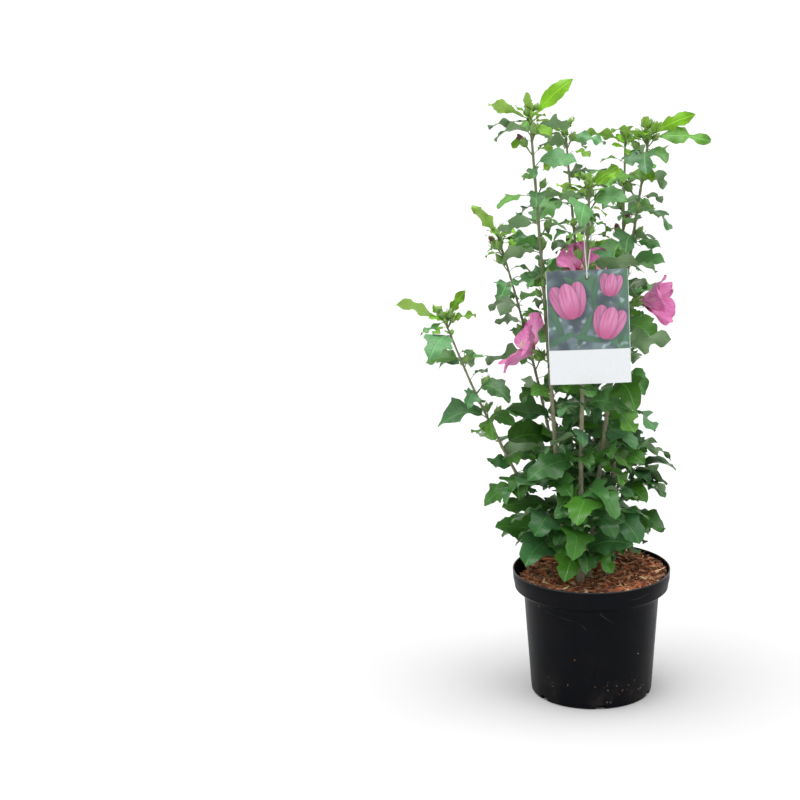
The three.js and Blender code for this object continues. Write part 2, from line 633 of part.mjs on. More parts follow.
// The crown of a stem: the stem from its bare share up, with the leaves and buds of its nodes, those of its
// growing tip, and its flowers.
function crown(stem) {
  const roll = dice(stem.seed);
  const height = stem.tip[2] - GROUND;
  const nodes = Math.round(((1 - stem.bare) * height) / NODE_SPACING);
  const leaves = [];
  const others = [];
  let turn = roll() * 2 * Math.PI;
  for (let k = 0; k < nodes; k++) {
    const share = (k + 0.5) / nodes;
    const t = stem.bare + (1 - stem.bare) * share * 0.97;
    const root = (up) => route(stem, t + up / height);
    turn += SPIRAL;
    leaves.push(drawLeaf(roll, stem, root(0), turn, LEAF_LENGTH * (1.1 - 0.2 * share), PETIOLE));
    AXIL_SHARES.forEach((chance, j) => {
      const facing = turn + (j ? -1 : 1) * AXIL_TURN;
      const above = root(AXIL_UP * (j + 1));
      leaves.push(drawLeaf(roll, stem, above, facing, LEAF_LENGTH * AXIL_SIZE, PETIOLE * AXIL_SIZE, chance));
    });
    const [budTurn, budding] = [turn + Math.PI + (roll() - 0.5) * TURN_SPREAD, roll()];
    if (share > BUD_FROM && budding < BUD_SHARE) {
      others.push(bud(root(-AXIL_UP), pointing(budTurn, BUD_RISE), 0.8 + 0.5 * (budding / BUD_SHARE)));
    }
  }
  const end = route(stem, 0.985);
  for (const [azimuth, degrees, length, lean] of stem.tips) {
    const rise = degrees * DEGREE;
    leaves.push({
      root: end, up: UP, ahead: pointing(azimuth * DEGREE, 0), rise, level: rise, fall: rise - TIP_DROOP,
      length: length * (1 - TIP_STALK), stalk: length * TIP_STALK, wide: TIP_WIDE, roll: lean * DEGREE,
    });
  }
  for (let k = 0; k < TIP_BUDS; k++) {
    others.push(bud(route(stem, 0.98 + 0.006 * k), pointing(turn + k * SPIRAL, BUD_RISE), TIP_BUD_SIZE));
  }
  for (const bloom of blooms.filter((b) => b.spec.stem === stem.name)) others.push(fused(flower(bloom)));
  const foot = stem.bare + CLEAR / height;
  return mass("crown_" + stem.name, limb(stem, foot, 1, CROWN_SIDES, CROWN_STEPS), leaves, others, 1);
}

// A side spray: a short twig that leaves a bare bough at a heading, with its leaves fanned to either side.
function spray(stem, index) {
  const roll = dice(stem.spraySeed * 100 + index);
  const [a, b, c] = [roll(), roll(), roll()];
  const share = SPRAY_LOWEST + ((stem.bare - SPRAY_LOWEST) * (index + 0.2 + 0.6 * a)) / stem.sprays.length;
  const turn = stem.sprays[index] * DEGREE;
  const direction = pointing(turn, SPRAY_RISE * (0.5 + b));
  const from = route(stem, share).addScaledVector(direction, girth(stem, share));
  const to = from.clone().addScaledVector(direction, SPRAY_LENGTH * (0.6 + 0.6 * c));
  const leaves = [];
  for (let k = 0; k <= SPRAY_JOINTS; k++) {
    const root = from.clone().lerp(to, (k + 0.95) / (SPRAY_JOINTS + 1));
    const facing = turn + (k === SPRAY_JOINTS ? 0 : (k % 2 ? 1 : -1) * SPRAY_FAN);
    leaves.push(drawLeaf(roll, stem, root, facing, LOW_LEAF_LENGTH, LOW_PETIOLE));
  }
  const clear = CLEAR / Math.cos(Math.PI / STEM_SIDES);
  const bough = limb(stem, 0, stem.bare, STEM_SIDES, STEM_STEPS, clear);
  const core = twig(route(stem, share), to, TWIG_RADIUS).subtract(bough);
  const name = "spray_" + stem.name + "_" + (index + 1);
  return meets(core, "") ? null : mass(name, core, leaves, [], SPRAY_FEWEST);
}

function shrub() {
  const plant = new THREE.Group();
  const boughs = STEMS.map((stem) => limb(stem, 0, stem.bare, STEM_SIDES, STEM_STEPS));
  STEMS.forEach((stem, k) => {
    claim(boughs[k], "stem_" + stem.name);
    plant.add(named("stem_" + stem.name, boughs[k], BARK));
    const start = stem.bare + CLEAR / (stem.tip[2] - GROUND);
    claim(limb(stem, start, 1, CROWN_SIDES, CROWN_STEPS), "crown_" + stem.name);
  });
  const label = card();
  const loop = tie();
  claim(label, "label_card");
  claim(loop, "label_tie");
  plant.add(named("label_card", label, CARD_WHITE), named("label_tie", loop, TIE_WHITE));
  plant.add(...STEMS.map(crown));
  for (const stem of STEMS) {
    for (const k of stem.sprays.keys()) {
      const made = spray(stem, k);
      if (made) plant.add(made);
    }
  }
  return plant;
}

const shrubInPot = new THREE.Group();
shrubInPot.name = "hibiscus_shrub_in_pot";
const planter = pot();
const mix = pottingMix();
claim(solid(planter.geometry), "pot");
claim(solid(mix.geometry), "potting_mix");
shrubInPot.add(planter, mix, shrub());

export default shrubInPot;
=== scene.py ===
"""Looks of a potted hibiscus shrub: bark, leaves, buds, flowers, mulch, pot and label round its solids.

Lengths in the growing rule and in the shapes are millimetres, and MM turns them into Blender's metres.
"""

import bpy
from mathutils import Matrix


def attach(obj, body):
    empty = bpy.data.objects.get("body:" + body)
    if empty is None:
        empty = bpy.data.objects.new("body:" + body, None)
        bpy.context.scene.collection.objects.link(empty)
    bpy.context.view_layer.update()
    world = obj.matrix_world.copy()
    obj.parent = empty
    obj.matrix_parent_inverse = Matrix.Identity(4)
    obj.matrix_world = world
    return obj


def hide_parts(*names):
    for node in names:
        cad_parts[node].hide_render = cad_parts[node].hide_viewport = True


bl_info = {
    "name": "Potted hibiscus shrub",
    "version": (1, 0, 0),
    "blender": (4, 5, 0),
    "location": "3D View > Sidebar > Shrub",
    "description": "Dresses the solids of a potted hibiscus shrub with bark, leaves, buds, flowers and mulch",
    "category": "Add Mesh",
}

import math

import bmesh
import bpy
import numpy as np
from bpy.props import FloatProperty, FloatVectorProperty, IntProperty, PointerProperty
from mathutils import Matrix, Vector

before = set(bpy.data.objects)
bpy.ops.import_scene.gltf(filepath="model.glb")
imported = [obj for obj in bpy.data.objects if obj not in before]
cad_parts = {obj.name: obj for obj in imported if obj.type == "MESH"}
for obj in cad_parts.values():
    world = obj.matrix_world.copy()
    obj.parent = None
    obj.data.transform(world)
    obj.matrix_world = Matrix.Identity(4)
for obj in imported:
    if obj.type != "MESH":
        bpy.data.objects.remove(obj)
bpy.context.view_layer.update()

MM = 0.001
DEG = math.pi / 180
TURN = 2 * math.pi
UP = np.array([0.0, 0.0, 1.0])
NODES = sorted(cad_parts)

# The pot and its filling. The underside is a little hollow. Dust and soil reach up to two heights on the
# wall, and the top of the lip is polished.
POT_HEIGHT = 184
BASE_RADIUS = 87
NECK_RADIUS = 97
RIM_RADIUS = 113
BAND_HEIGHT = 26.5
RIM_UNDERCUT = 8.5
RIM_TAPER = 3
WALL = 2
FLOOR = 4
NOTCHES = 6
NOTCH_WIDTH = 14
NOTCH_DEPTH = 8
NOTCH_HEIGHT = 6
NOTCH_FIRST = 39 * DEG
NOTCH_FLANK = 0.35
FOOT_ROUND = 3
HOLLOW = 0.6
HOLLOW_INSET = 20
HOLLOW_SLOPE = 8
NECK_STEP = 0.4
POLISHED_LIP = 2
DUST_TOP = 55
SOIL_TOP = 50
GROUND = 168
MULCH_EDGE = 180
MULCH_FLAT = 55
DIP_DEPTH = 19
DIP_ANGLE = 165 * DEG
CLEAR = 0.3

# The growing rule, as the solids follow it, down to the tips. A stem has its foot and tip, its bow, its
# radius, the share of it that is a bare bough, its seeds, the headings of its side sprays, and its tip leaves
# as heading, rise, length and roll.
STEMS = [
    {"name": "far_left", "foot": (-20, 8), "tip": (-204, -30, 556), "bow": (-12, 0), "radius": 2.9,
     "bare": 0.34, "seed": 373, "spray_seed": 109, "sprays": [168],
     "tips": [(180, 30, 76, 58), (14, 62, 52, 70), (0, 20, 44, 30), (205, -12, 42, -20)]},
    {"name": "left", "foot": (-25, 26), "tip": (-133, 70, 658), "bow": (10, 0), "radius": 2.9,
     "bare": 0.32, "seed": 36, "spray_seed": 377, "sprays": [140, 112],
     "tips": [(190, 62, 62, 74), (300, 26, 48, 10), (350, 4, 62, 34)]},
    {"name": "tall_left", "foot": (-38, -12), "tip": (-82, -50, 838), "bow": (2, -4), "radius": 3.8,
     "bare": 0.26, "seed": 21, "spray_seed": 214, "sprays": [178, 226, 202],
     "tips": [(10, 52, 80, 66), (190, 34, 62, 62), (250, 74, 44, 20), (182, 4, 58, 24)]},
    {"name": "tall_centre", "foot": (30, 32), "tip": (-36, 60, 807), "bow": (-4, 6), "radius": 3.4,
     "bare": 0.28, "seed": 254, "spray_seed": 182, "sprays": [46, 20, 68],
     "tips": [(160, 34, 48, 50), (0, 0, 58, 40), (320, 70, 30, 30), (190, 10, 48, 20)]},
    {"name": "front", "foot": (-15, -26), "tip": (-2, -85, 748), "bow": (-3, 0), "radius": 3.9,
     "bare": 0.28, "seed": 258, "spray_seed": 360, "sprays": [268, 244, 290],
     "tips": [(330, 48, 56, 52), (200, 22, 48, 26), (20, 36, 52, 70), (270, 60, 34, 8)]},
    {"name": "right_back", "foot": (23, 8), "tip": (48, 105, 789), "bow": (4, 6), "radius": 3.3,
     "bare": 0.28, "seed": 251, "spray_seed": 200, "sprays": [2, 342, 24],
     "tips": [(178, 26, 58, 46), (290, 58, 36, 14), (80, 30, 52, 30)]},
    {"name": "tall_right", "foot": (-6, 0), "tip": (79, -20, 810), "bow": (-5, -6), "radius": 3.6,
     "bare": 0.3, "seed": 286, "spray_seed": 183, "sprays": [318, 338],
     "tips": [(6, 36, 70, 72), (356, 8, 84, 40), (170, 22, 54, 40), (260, 62, 40, 10)]},
    {"name": "back", "foot": (4, 38), "tip": (-12, 150, 620), "bow": (0, 8), "radius": 3.0,
     "bare": 0.34, "seed": 241, "spray_seed": 281, "sprays": [88, 112],
     "tips": [(100, 40, 56, 20), (20, 30, 50, 50), (190, 34, 50, 50)]},
]

# A stem tapers to its tip and flares at its foot.
STEM_TAPER = 0.62
TIP_RADIUS = 1.3
FOOT_FLARE = 0.55
FLARE_SHARE = 0.05

# The joints run round a stem as a spiral. Each has a leaf, up to two smaller ones beside it, and some a bud.
SPIRAL = 137.5 * DEG
NODE_SPACING = 40
CROWN_REACH = 0.97
AXIL_SHARES = (0.72, 0.36)
AXIL_TURN = 75 * DEG
AXIL_SIZE = 0.76
AXIL_UP = 4
BUD_FROM = 0.4
BUD_SHARE = 0.5

# A leaf's length and stalk, and how it rises, droops, turns and rolls, with the spread of each draw.
LEAF_LENGTH = 60
PETIOLE = 14
LOW_PETIOLE = 16
SIZE_SPREAD = 0.34
RISE = 34 * DEG
RISE_SPREAD = 40 * DEG
DROOP = 34 * DEG
DROOP_SPREAD = 50 * DEG
TURN_SPREAD = 46 * DEG
ROLL_SPREAD = 96 * DEG

# A blocked leaf turns away and tries again. It keeps away from other stems by a share of its length, and from
# other leaves, the card and the ground. Beyond POT_ZONE from the pot's axis the ground is as high as the rim.
TRIES = 5
TURN_AWAY = 67 * DEG
STEM_ROOM = 0.2
LEAF_ROOM = 21
GROUND_ROOM = 8
CARD_ROOM = 2
POT_ZONE = MULCH_FLAT + 30

# The side sprays on the bare boughs.
SPRAY_LENGTH = 27
SPRAY_JOINTS = 3
SPRAY_FAN = 46 * DEG
SPRAY_LOWEST = 0.05
SPRAY_RISE = 20 * DEG
TWIG_RADIUS = 1.2

# A bud of size 1, and the leaves and buds of a growing tip.
BUD_STALK = 14
BUD_RADIUS = 5
BUD_LENGTH = 17
BUD_RISE = 60 * DEG
TIP_SHARE = 0.985
TIP_DROOP = 24 * DEG
TIP_STALK = 0.16
TIP_WIDE = 0.6
TIP_BUDS = 3
TIP_BUD_SHARE = 0.98
TIP_BUD_STEP = 0.006
TIP_BUD_SIZE = 0.75

# What the rule is carried on to here: smaller leaves at joints between the solids' joints, small side sprays
# on the boughs, and tufts of young leaves and more buds at the tips. A tip leaf that rises by over YOUNG_RISE
# degrees is young. The tufts and the clusters of buds start at a share of the stem and go up it in steps.
FINE_SEED = 5000
FINE_SPACING = 19
FINE_REACH = 0.98
FINE_LENGTH = 44
FINE_TOP_LENGTH = 26
FINE_STALK = 0.7
FINE_ROOM = 13
FINE_BUD_FROM = 0.42
FINE_BUD_SHARE = 0.4
FINE_BUD_RISE = 0.9
FINE_SPRAYS = 3
FINE_SPRAY_LENGTH = 26
FINE_SPRAY_LEAF = 48
YOUNG_RISE = 12
TUFT_LEAVES = 6
TUFT_SHARE = 0.97
TUFT_STEP = 0.004
TUFT_LENGTH = 24
TUFT_STALK = 3.0
TUFT_WIDE = 0.8
TUFT_DROOP = 1.6 * TIP_DROOP
CLUSTER_SHARE = 0.955
CLUSTER_STEP = 0.005
CLUSTERS = {"far_left": 5, "tall_centre": 2, "tall_right": 8}

# Flowers: the stem, the height, the heading and rise of the axis, how far open, the petals' length, and the
# heading of the side that it shows on. PETAL_SHUT gives the slopes in degrees of a shut flower's petal: of
# its foot, and of its blade's start and end. PETAL_OPENS is how much of each an open flower's petal loses.
# A form is the length, half width and splay of a sepal or bract. RUFFLES are the heights of two sizes of
# ruffles on a petal's end.
FLOWERS = [
    {"stem": "tall_right", "height": 574, "heading": -14, "rise": 6, "open": 0.42, "petal": 50, "side": 270},
    {"stem": "tall_left", "height": 492, "heading": 184, "rise": 36, "open": 0.8, "petal": 54, "side": 270},
    {"stem": "tall_centre", "height": 576, "heading": 284, "rise": 60, "open": 0.5, "petal": 50, "side": 270},
    {"stem": "back", "height": 520, "heading": 84, "rise": 34, "open": 0.9, "petal": 50, "side": 90},
]
PETALS = 5
PETAL_SHUT = (86, 80, 62)
PETAL_OPENS = (22, 42, 70)
PETAL_STALK = 9.0
PETAL_ROLL = 0.2
PETAL_WAVE = (0.03, 0.07)
PETAL_FOLD = (-0.02, 0.06)
FLOWER_STALK = 12
CALYX_RADIUS = 7
CALYX_LENGTH = 15
SEPALS = 5
SEPAL_FORM = (14, 3.4, 0.16)
BRACTS = 7
BRACT_FORM = (16, 0.7, 0.5)
BUD_BRACT_FORM = (16, 0.65, 0.42)
COLUMN_RADIUS = 1.8
COLUMN_LENGTH = 30
ANTHERS = 46
ANTHER_RADIUS = 0.85
ANTHER_REACHES = (2.4, 4.4)
FILAMENT_RADIUS = 0.16
RUFFLES = (1.7, 0.7)
FLOWER_ROOM = 36
FLOWER_VIEW = 160
FLOWER_MIDDLE = 26
SIGHT_RISE = 10 * DEG

# The label and its tie. The card hangs straight at its top, and bows below.
CARD_WIDTH = 110
CARD_HEIGHT = 157
CARD_THICK = 0.8
CARD_HOLE = 2.6
CARD_HOLE_DROP = 11
CARD_TILT = 2 * DEG
CARD_TOP = 632
CARD_CENTRE = -6
CARD_FORWARD = 12
CARD_STRAIGHT = 40
TIE_RADIUS = 0.8
TIE_HEIGHT = 76
TIE_HALF_WIDTH = 7
TIE_HALF_DEPTH = 7

# How far finished leaves stay from the card's sides and front, from the rim and over it, and from the mulch.
CLEAR_OF_SIDE = 5
CLEAR_OF_FRONT = 1.5
CLEAR_OF_RIM = 8
CLEAR_OVER_RIM = 2
CLEAR_OF_MULCH = 1

# Broad leaves are found below a height, and more so further down. The greens change at two heights, and a
# leaf's own height counts with a spread.
BROAD_BELOW = 520
BROAD_OVER = 300
HIGH_FROM = 560
MID_FROM = 390
HEIGHT_SPREAD = 45

# The radii along a leaf's stalk, a bud's stalk and a flower's stalk, for a leaf of full length and a bud of
# size 1. The profiles of a bud, a calyx and an anther give the radius from foot to end, as a share of the
# widest. A ripe bud's rolled petals have a profile and heights.
PETIOLE_RADII = (1.15, 0.8, 0.7, 0.7, 0.75, 0.3)
BUD_STALK_RADII = (1.1, 0.85, 0.85, 1.2)
BUD_STALK_SAG = 0.8
FLOWER_STALK_RADII = (1.5, 1.2, 1.2, 1.3, 1.9)
BUD_PROFILE = np.array([0.3, 0.78, 1.0, 1.0, 0.86, 0.62, 0.34, 0.06])
ROLLED_PROFILE = np.array([0.7, 0.66, 0.5, 0.3, 0.05])
ROLLED_HEIGHTS = np.array([0, 3.5, 6.5, 8.5, 9.5])
RIPE_FROM = 1.12
CALYX_PROFILE = np.array([0.25, 0.7, 0.92, 1.0, 1.0, 0.98, 0.95, 0.9])
ANTHER_PROFILE = np.array([0.35, 0.9, 1.0, 0.8, 0.3])
ANTHER_STEPS = np.array([-0.9, -0.5, 0.0, 0.5, 0.9])

# How far a blade may sway, twist and wave as a whole, and the least and the most waves along its edge.
SWAY = 0.09
TWIST = 0.45
SLOW_WAVE = 0.045
EDGE_WAVES = (1.5, 2.6)

# A stem's foot is sunk in the mulch, and its last three rings round off its end. It swells at its joints,
# from FIRST_JOINT over the mulch to LAST_JOINT under its tip. It wanders a little, and has ridges: how many,
# and how deep.
FOOT_SUNK = 4
END_RINGS = (0.9, 0.7, 0.25)
FIRST_JOINT = 8
LAST_JOINT = 10
JOINT_SWELL = 0.22
JOINT_REACH = 2.6
WANDER = 0.35
RIDGES = ((3, 0.05), (5, 0.035), (8, 0.03))

# The mix: how far it stays from the wall, how far it lies under the mulch's level, where its underside is
# above the foot of the rim's band, and the lengths of its waves.
MIX_ROOM = 2.4
MIX_UNDER = 1.5
MIX_FOOT = 3
MIX_WAVES = (60, 26, 13, 7)

# The shreds of bark: the share of each tone, the shortest one, the least and the most width and lift, and how
# far their middles and their ends stay from the wall.
SHREDS = {"red": 0.5, "brown": 0.24, "tan": 0.21, "pale": 0.05}
SHORTEST_SHRED = 5
SHRED_WIDTHS = (1.1, 5.2)
SHRED_LIFTS = (-1.4, 2.9)
SHRED_ROOM = 4
SHRED_END_ROOM = 3

# The seeds of each piece's own random numbers.
SEEDS = {
    "mulch": 7, "stems": 3, "leaves": 11, "blades": 5, "petals": 9, "ruffles": 15, "anthers": 17,
    "bud_bracts": 21, "sepals": 31, "flower_bracts": 33,
}

# The stage, in metres but for the floor's sizes: where the soft suns stand, where they point, half the
# floor's side, and how far it lies under the pot.
SUNS = {"key": (-0.72, -0.1, 3.32), "fill": (0.9, -0.05, 3.32)}
SUN_AIM = (0, 0, 0.45)
FLOOR_HALF = 60000
FLOOR_DROP = 0.05

# Leaf outlines, one side: for each row the share along the midrib, the share along at the edge, and the half
# width, in parts of the length. The first has deep round lobes, the second is broad with shallow ones, and
# the third is a long young leaf.
LOBED_LEAF = np.array([
    (0.00, 0.00, 0.015), (0.05, 0.03, 0.08), (0.10, 0.09, 0.16), (0.16, 0.17, 0.22), (0.22, 0.25, 0.24),
    (0.28, 0.32, 0.26), (0.33, 0.41, 0.335), (0.38, 0.48, 0.375), (0.43, 0.52, 0.35), (0.49, 0.53, 0.255),
    (0.55, 0.56, 0.18), (0.62, 0.65, 0.175), (0.69, 0.74, 0.205), (0.76, 0.80, 0.175), (0.84, 0.88, 0.13),
    (0.92, 0.94, 0.07), (1.00, 1.00, 0.006),
])
BROAD_LEAF = np.array([
    (0.00, 0.00, 0.015), (0.04, 0.01, 0.10), (0.09, 0.06, 0.21), (0.15, 0.14, 0.29), (0.21, 0.22, 0.325),
    (0.28, 0.31, 0.34), (0.34, 0.39, 0.365), (0.40, 0.46, 0.375), (0.46, 0.51, 0.345), (0.52, 0.55, 0.29),
    (0.58, 0.62, 0.265), (0.65, 0.70, 0.26), (0.72, 0.77, 0.235), (0.79, 0.83, 0.18), (0.86, 0.90, 0.14),
    (0.93, 0.95, 0.075), (1.00, 1.00, 0.006),
])
LONG_LEAF = np.array([
    (0.00, 0.00, 0.012), (0.07, 0.06, 0.04), (0.14, 0.13, 0.07), (0.21, 0.21, 0.11), (0.28, 0.31, 0.20),
    (0.34, 0.39, 0.27), (0.40, 0.45, 0.27), (0.46, 0.48, 0.19), (0.52, 0.55, 0.19), (0.58, 0.63, 0.25),
    (0.65, 0.71, 0.29), (0.71, 0.76, 0.26), (0.77, 0.81, 0.245), (0.83, 0.86, 0.18), (0.89, 0.91, 0.12),
    (0.95, 0.96, 0.05), (1.00, 1.00, 0.005),
])
LEAF_ACROSS = np.array([1.0, 0.5, 0.0, -0.5, -1.0])


def dice(seed):
    """A stream of numbers from 0 to 1: state = state times 1664525 plus 1013904223, modulo 2 to the 32."""
    state = (seed * 2654435761) & 0xFFFFFFFF

    def roll():
        nonlocal state
        state = (state * 1664525 + 1013904223) & 0xFFFFFFFF
        return state / 4294967296

    return roll


def route(stem, t):
    """The stem's axis at share t: a straight line from foot to tip, with a parabola's bow."""
    t = np.asarray(t, float)
    bulge = 4 * t * (1 - t)
    (foot_x, foot_y), (tip_x, tip_y, tip_z) = stem["foot"], stem["tip"]
    x = foot_x + (tip_x - foot_x) * t + stem["bow"][0] * bulge
    y = foot_y + (tip_y - foot_y) * t + stem["bow"][1] * bulge
    z = GROUND + CLEAR + (tip_z - GROUND - CLEAR) * t
    return np.stack([x, y, z], -1)


def girth(stem, t):
    """The stem's radius: an even taper with a flare at the foot that dies away as an exponential."""
    taper = np.maximum(TIP_RADIUS, stem["radius"] * (1 - STEM_TAPER * np.asarray(t, float)))
    return taper * (1 + FOOT_FLARE * np.exp(-np.asarray(t, float) / FLARE_SHARE))


def share_at(stem, height):
    """The share along the stem at a height."""
    return (height - GROUND - CLEAR) / (stem["tip"][2] - GROUND - CLEAR)


def pointing(heading, rise):
    """The unit vector at a heading round Z and a rise above level."""
    return np.array([math.cos(heading) * math.cos(rise), math.sin(heading) * math.cos(rise), math.sin(rise)])


def unit(vectors):
    """Vectors at length 1."""
    return vectors / np.maximum(np.linalg.norm(vectors, axis=-1, keepdims=True), 1e-9)


def stem_named(name):
    """The entry of the stem with this name."""
    return next(stem for stem in STEMS if stem["name"] == name)


LABEL_STEM = stem_named("front")
CARD_PLANE = float(route(LABEL_STEM, share_at(LABEL_STEM, CARD_TOP))[1]) - CARD_FORWARD


def blooms():
    """Each flower's entry, its place on its stem, its axis, and the foot of its calyx."""
    for spec in FLOWERS:
        stem = stem_named(spec["stem"])
        root = route(stem, share_at(stem, spec["height"]))
        axis = pointing(spec["heading"] * DEG, spec["rise"] * DEG)
        yield spec, root, axis, root + axis * FLOWER_STALK


def near_line(p, start, direction):
    """Whether a point is near a line that runs in a direction for the length of FLOWER_VIEW."""
    along = np.dot(p - start, direction)
    return 0 < along < FLOWER_VIEW and np.linalg.norm(p - start - direction * along) < FLOWER_ROOM


def hides_flower(p):
    """Whether a point lies in front of a flower, near its axis or near the line that it is seen along."""
    for spec, _, axis, cup in blooms():
        sight = pointing(spec["side"] * DEG, SIGHT_RISE)
        if near_line(p, cup, axis) or near_line(p, cup + axis * FLOWER_MIDDLE, sight):
            return True
    return False


def blade_line(leaf, s):
    """Where a leaf's centre line is at share s: an arc whose slope turns evenly from level to fall."""
    along = leaf["ahead"] * math.cos(leaf["rise"]) + leaf["up"] * math.sin(leaf["rise"])
    base = leaf["root"] + along * leaf["stalk"]
    bend = leaf["fall"] - leaf["level"]
    slope = leaf["level"] + bend * s
    forward = (math.sin(slope) - math.sin(leaf["level"])) / bend
    upward = (math.cos(leaf["level"]) - math.cos(slope)) / bend
    return base + leaf["length"] * (leaf["ahead"] * forward + leaf["up"] * upward)


def plan_distance(q, a, b):
    """How far q is from the segment a to b, seen from above."""
    step = (b - a)[:2]
    share = np.clip(np.dot((q - a)[:2], step) / (np.dot(step, step) + 1e-9), 0, 1)
    return float(np.linalg.norm((q - a)[:2] - step * share))


class Growth:
    """Everything that the rule grows: leaves, buds, twigs, and the middles of the leaves so far."""

    def __init__(self):
        self.leaves = []
        self.buds = []
        self.twigs = []
        self.middles = []

    def blocked(self, leaf, own, room):
        """Whether a leaf would run into another leaf or stem, a flower, the ground, the pot or the label."""
        middle, tip = blade_line(leaf, 0.5), blade_line(leaf, 1)
        if self.middles and (np.sum((np.array(self.middles) - middle) ** 2, axis=1) < room**2).any():
            return True
        for stem in STEMS:
            t = share_at(stem, middle[2])
            if stem is own or t >= 1:
                continue
            if plan_distance(route(stem, max(0, t)), leaf["root"], tip) < STEM_ROOM * leaf["length"]:
                return True
        for p in (middle, tip):
            floor = POT_HEIGHT if math.hypot(p[0], p[1]) > POT_ZONE else GROUND
            beside = abs(p[0] - CARD_CENTRE) > CARD_WIDTH / 2 + GROUND_ROOM
            past = p[2] > CARD_TOP + GROUND_ROOM or p[2] < CARD_TOP - CARD_HEIGHT - GROUND_ROOM
            at_card = not (beside or past or p[1] > CARD_PLANE + CARD_ROOM)
            if p[2] < floor + GROUND_ROOM or at_card or hides_flower(p):
                return True
        return False

    def draw_leaf(self, roll, own, root, turn, length, stalk, chance=1.0, room=LEAF_ROOM, young=0.0):
        """Six numbers are drawn for each leaf. A blocked one turns away a few times before it is skipped."""
        a, b, c, d, e, f = (roll() for _ in range(6))
        if f >= chance:
            return
        rise = RISE + (b - 0.5) * RISE_SPREAD
        for attempt in range(TRIES + 1):
            facing = turn + (a - 0.5) * TURN_SPREAD + attempt * TURN_AWAY
            leaf = {
                "root": root, "up": UP, "ahead": pointing(facing, 0),
                "rise": rise, "level": rise / 2, "fall": rise / 2 - DROOP - c * DROOP_SPREAD,
                "length": length * (1 + (d - 0.5) * SIZE_SPREAD), "stalk": stalk, "wide": 1.0,
                "roll": (e - 0.5) * ROLL_SPREAD, "young": young,
            }
            if self.blocked(leaf, own, room):
                continue
            self.middles.append(blade_line(leaf, 0.5))
            self.leaves.append(leaf)
            return

    def crown(self, stem):
        """The leaves and buds at the stem's joints and those of its growing tip."""
        roll = dice(stem["seed"])
        height = stem["tip"][2] - GROUND
        bare = stem["bare"]
        nodes = int((1 - bare) * height / NODE_SPACING + 0.5)
        turn = roll() * TURN
        for k in range(nodes):
            share = (k + 0.5) / nodes
            t = bare + (1 - bare) * share * CROWN_REACH
            turn += SPIRAL
            self.draw_leaf(roll, stem, route(stem, t), turn, LEAF_LENGTH * (1.1 - 0.2 * share), PETIOLE)
            for j, chance in enumerate(AXIL_SHARES):
                facing = turn + (-1 if j else 1) * AXIL_TURN
                above = route(stem, t + AXIL_UP * (j + 1) / height)
                length, stalk = LEAF_LENGTH * AXIL_SIZE, PETIOLE * AXIL_SIZE
                self.draw_leaf(roll, stem, above, facing, length, stalk, chance)
            bud_turn, budding = turn + math.pi + (roll() - 0.5) * TURN_SPREAD, roll()
            if share > BUD_FROM and budding < BUD_SHARE:
                size = 0.8 + 0.5 * budding / BUD_SHARE
                self.buds.append((route(stem, t - AXIL_UP / height), pointing(bud_turn, BUD_RISE), size))
        end = route(stem, TIP_SHARE)
        for azimuth, degrees, length, lean in stem["tips"]:
            rise = degrees * DEG
            self.leaves.append({
                "root": end, "up": UP, "ahead": pointing(azimuth * DEG, 0), "rise": rise, "level": rise,
                "fall": rise - TIP_DROOP, "length": length * (1 - TIP_STALK), "stalk": length * TIP_STALK,
                "wide": TIP_WIDE, "roll": lean * DEG, "young": 1.0 if degrees > YOUNG_RISE else 0.4,
            })
        for k in range(TIP_BUDS):
            root = route(stem, TIP_BUD_SHARE + TIP_BUD_STEP * k)
            self.buds.append((root, pointing(turn + k * SPIRAL, BUD_RISE), TIP_BUD_SIZE))

    def spray(self, stem, index):
        """A side twig on the bare bough, with a leaf at each joint and one at its end."""
        roll = dice(stem["spray_seed"] * 100 + index)
        a, b, c = roll(), roll(), roll()
        share = SPRAY_LOWEST + (stem["bare"] - SPRAY_LOWEST) * (index + 0.2 + 0.6 * a) / len(stem["sprays"])
        turn = stem["sprays"][index] * DEG
        rise, length = SPRAY_RISE * (0.5 + b), SPRAY_LENGTH * (0.6 + 0.6 * c)
        self.twig(roll, stem, share, turn, rise, length, LEAF_LENGTH, LEAF_ROOM)

    def twig(self, roll, stem, share, turn, rise, length, leaf_length, room):
        """A straight twig from the stem's axis, with leaves to each side in turn and one at its end."""
        direction = pointing(turn, rise)
        start = route(stem, share) + direction * girth(stem, share)
        end = start + direction * length
        self.twigs.append((route(stem, share), end))
        for k in range(SPRAY_JOINTS + 1):
            root = start + (end - start) * (k + 0.95) / (SPRAY_JOINTS + 1)
            facing = turn + (0 if k == SPRAY_JOINTS else (1 if k % 2 else -1) * SPRAY_FAN)
            self.draw_leaf(roll, stem, root, facing, leaf_length, LOW_PETIOLE, room=room)

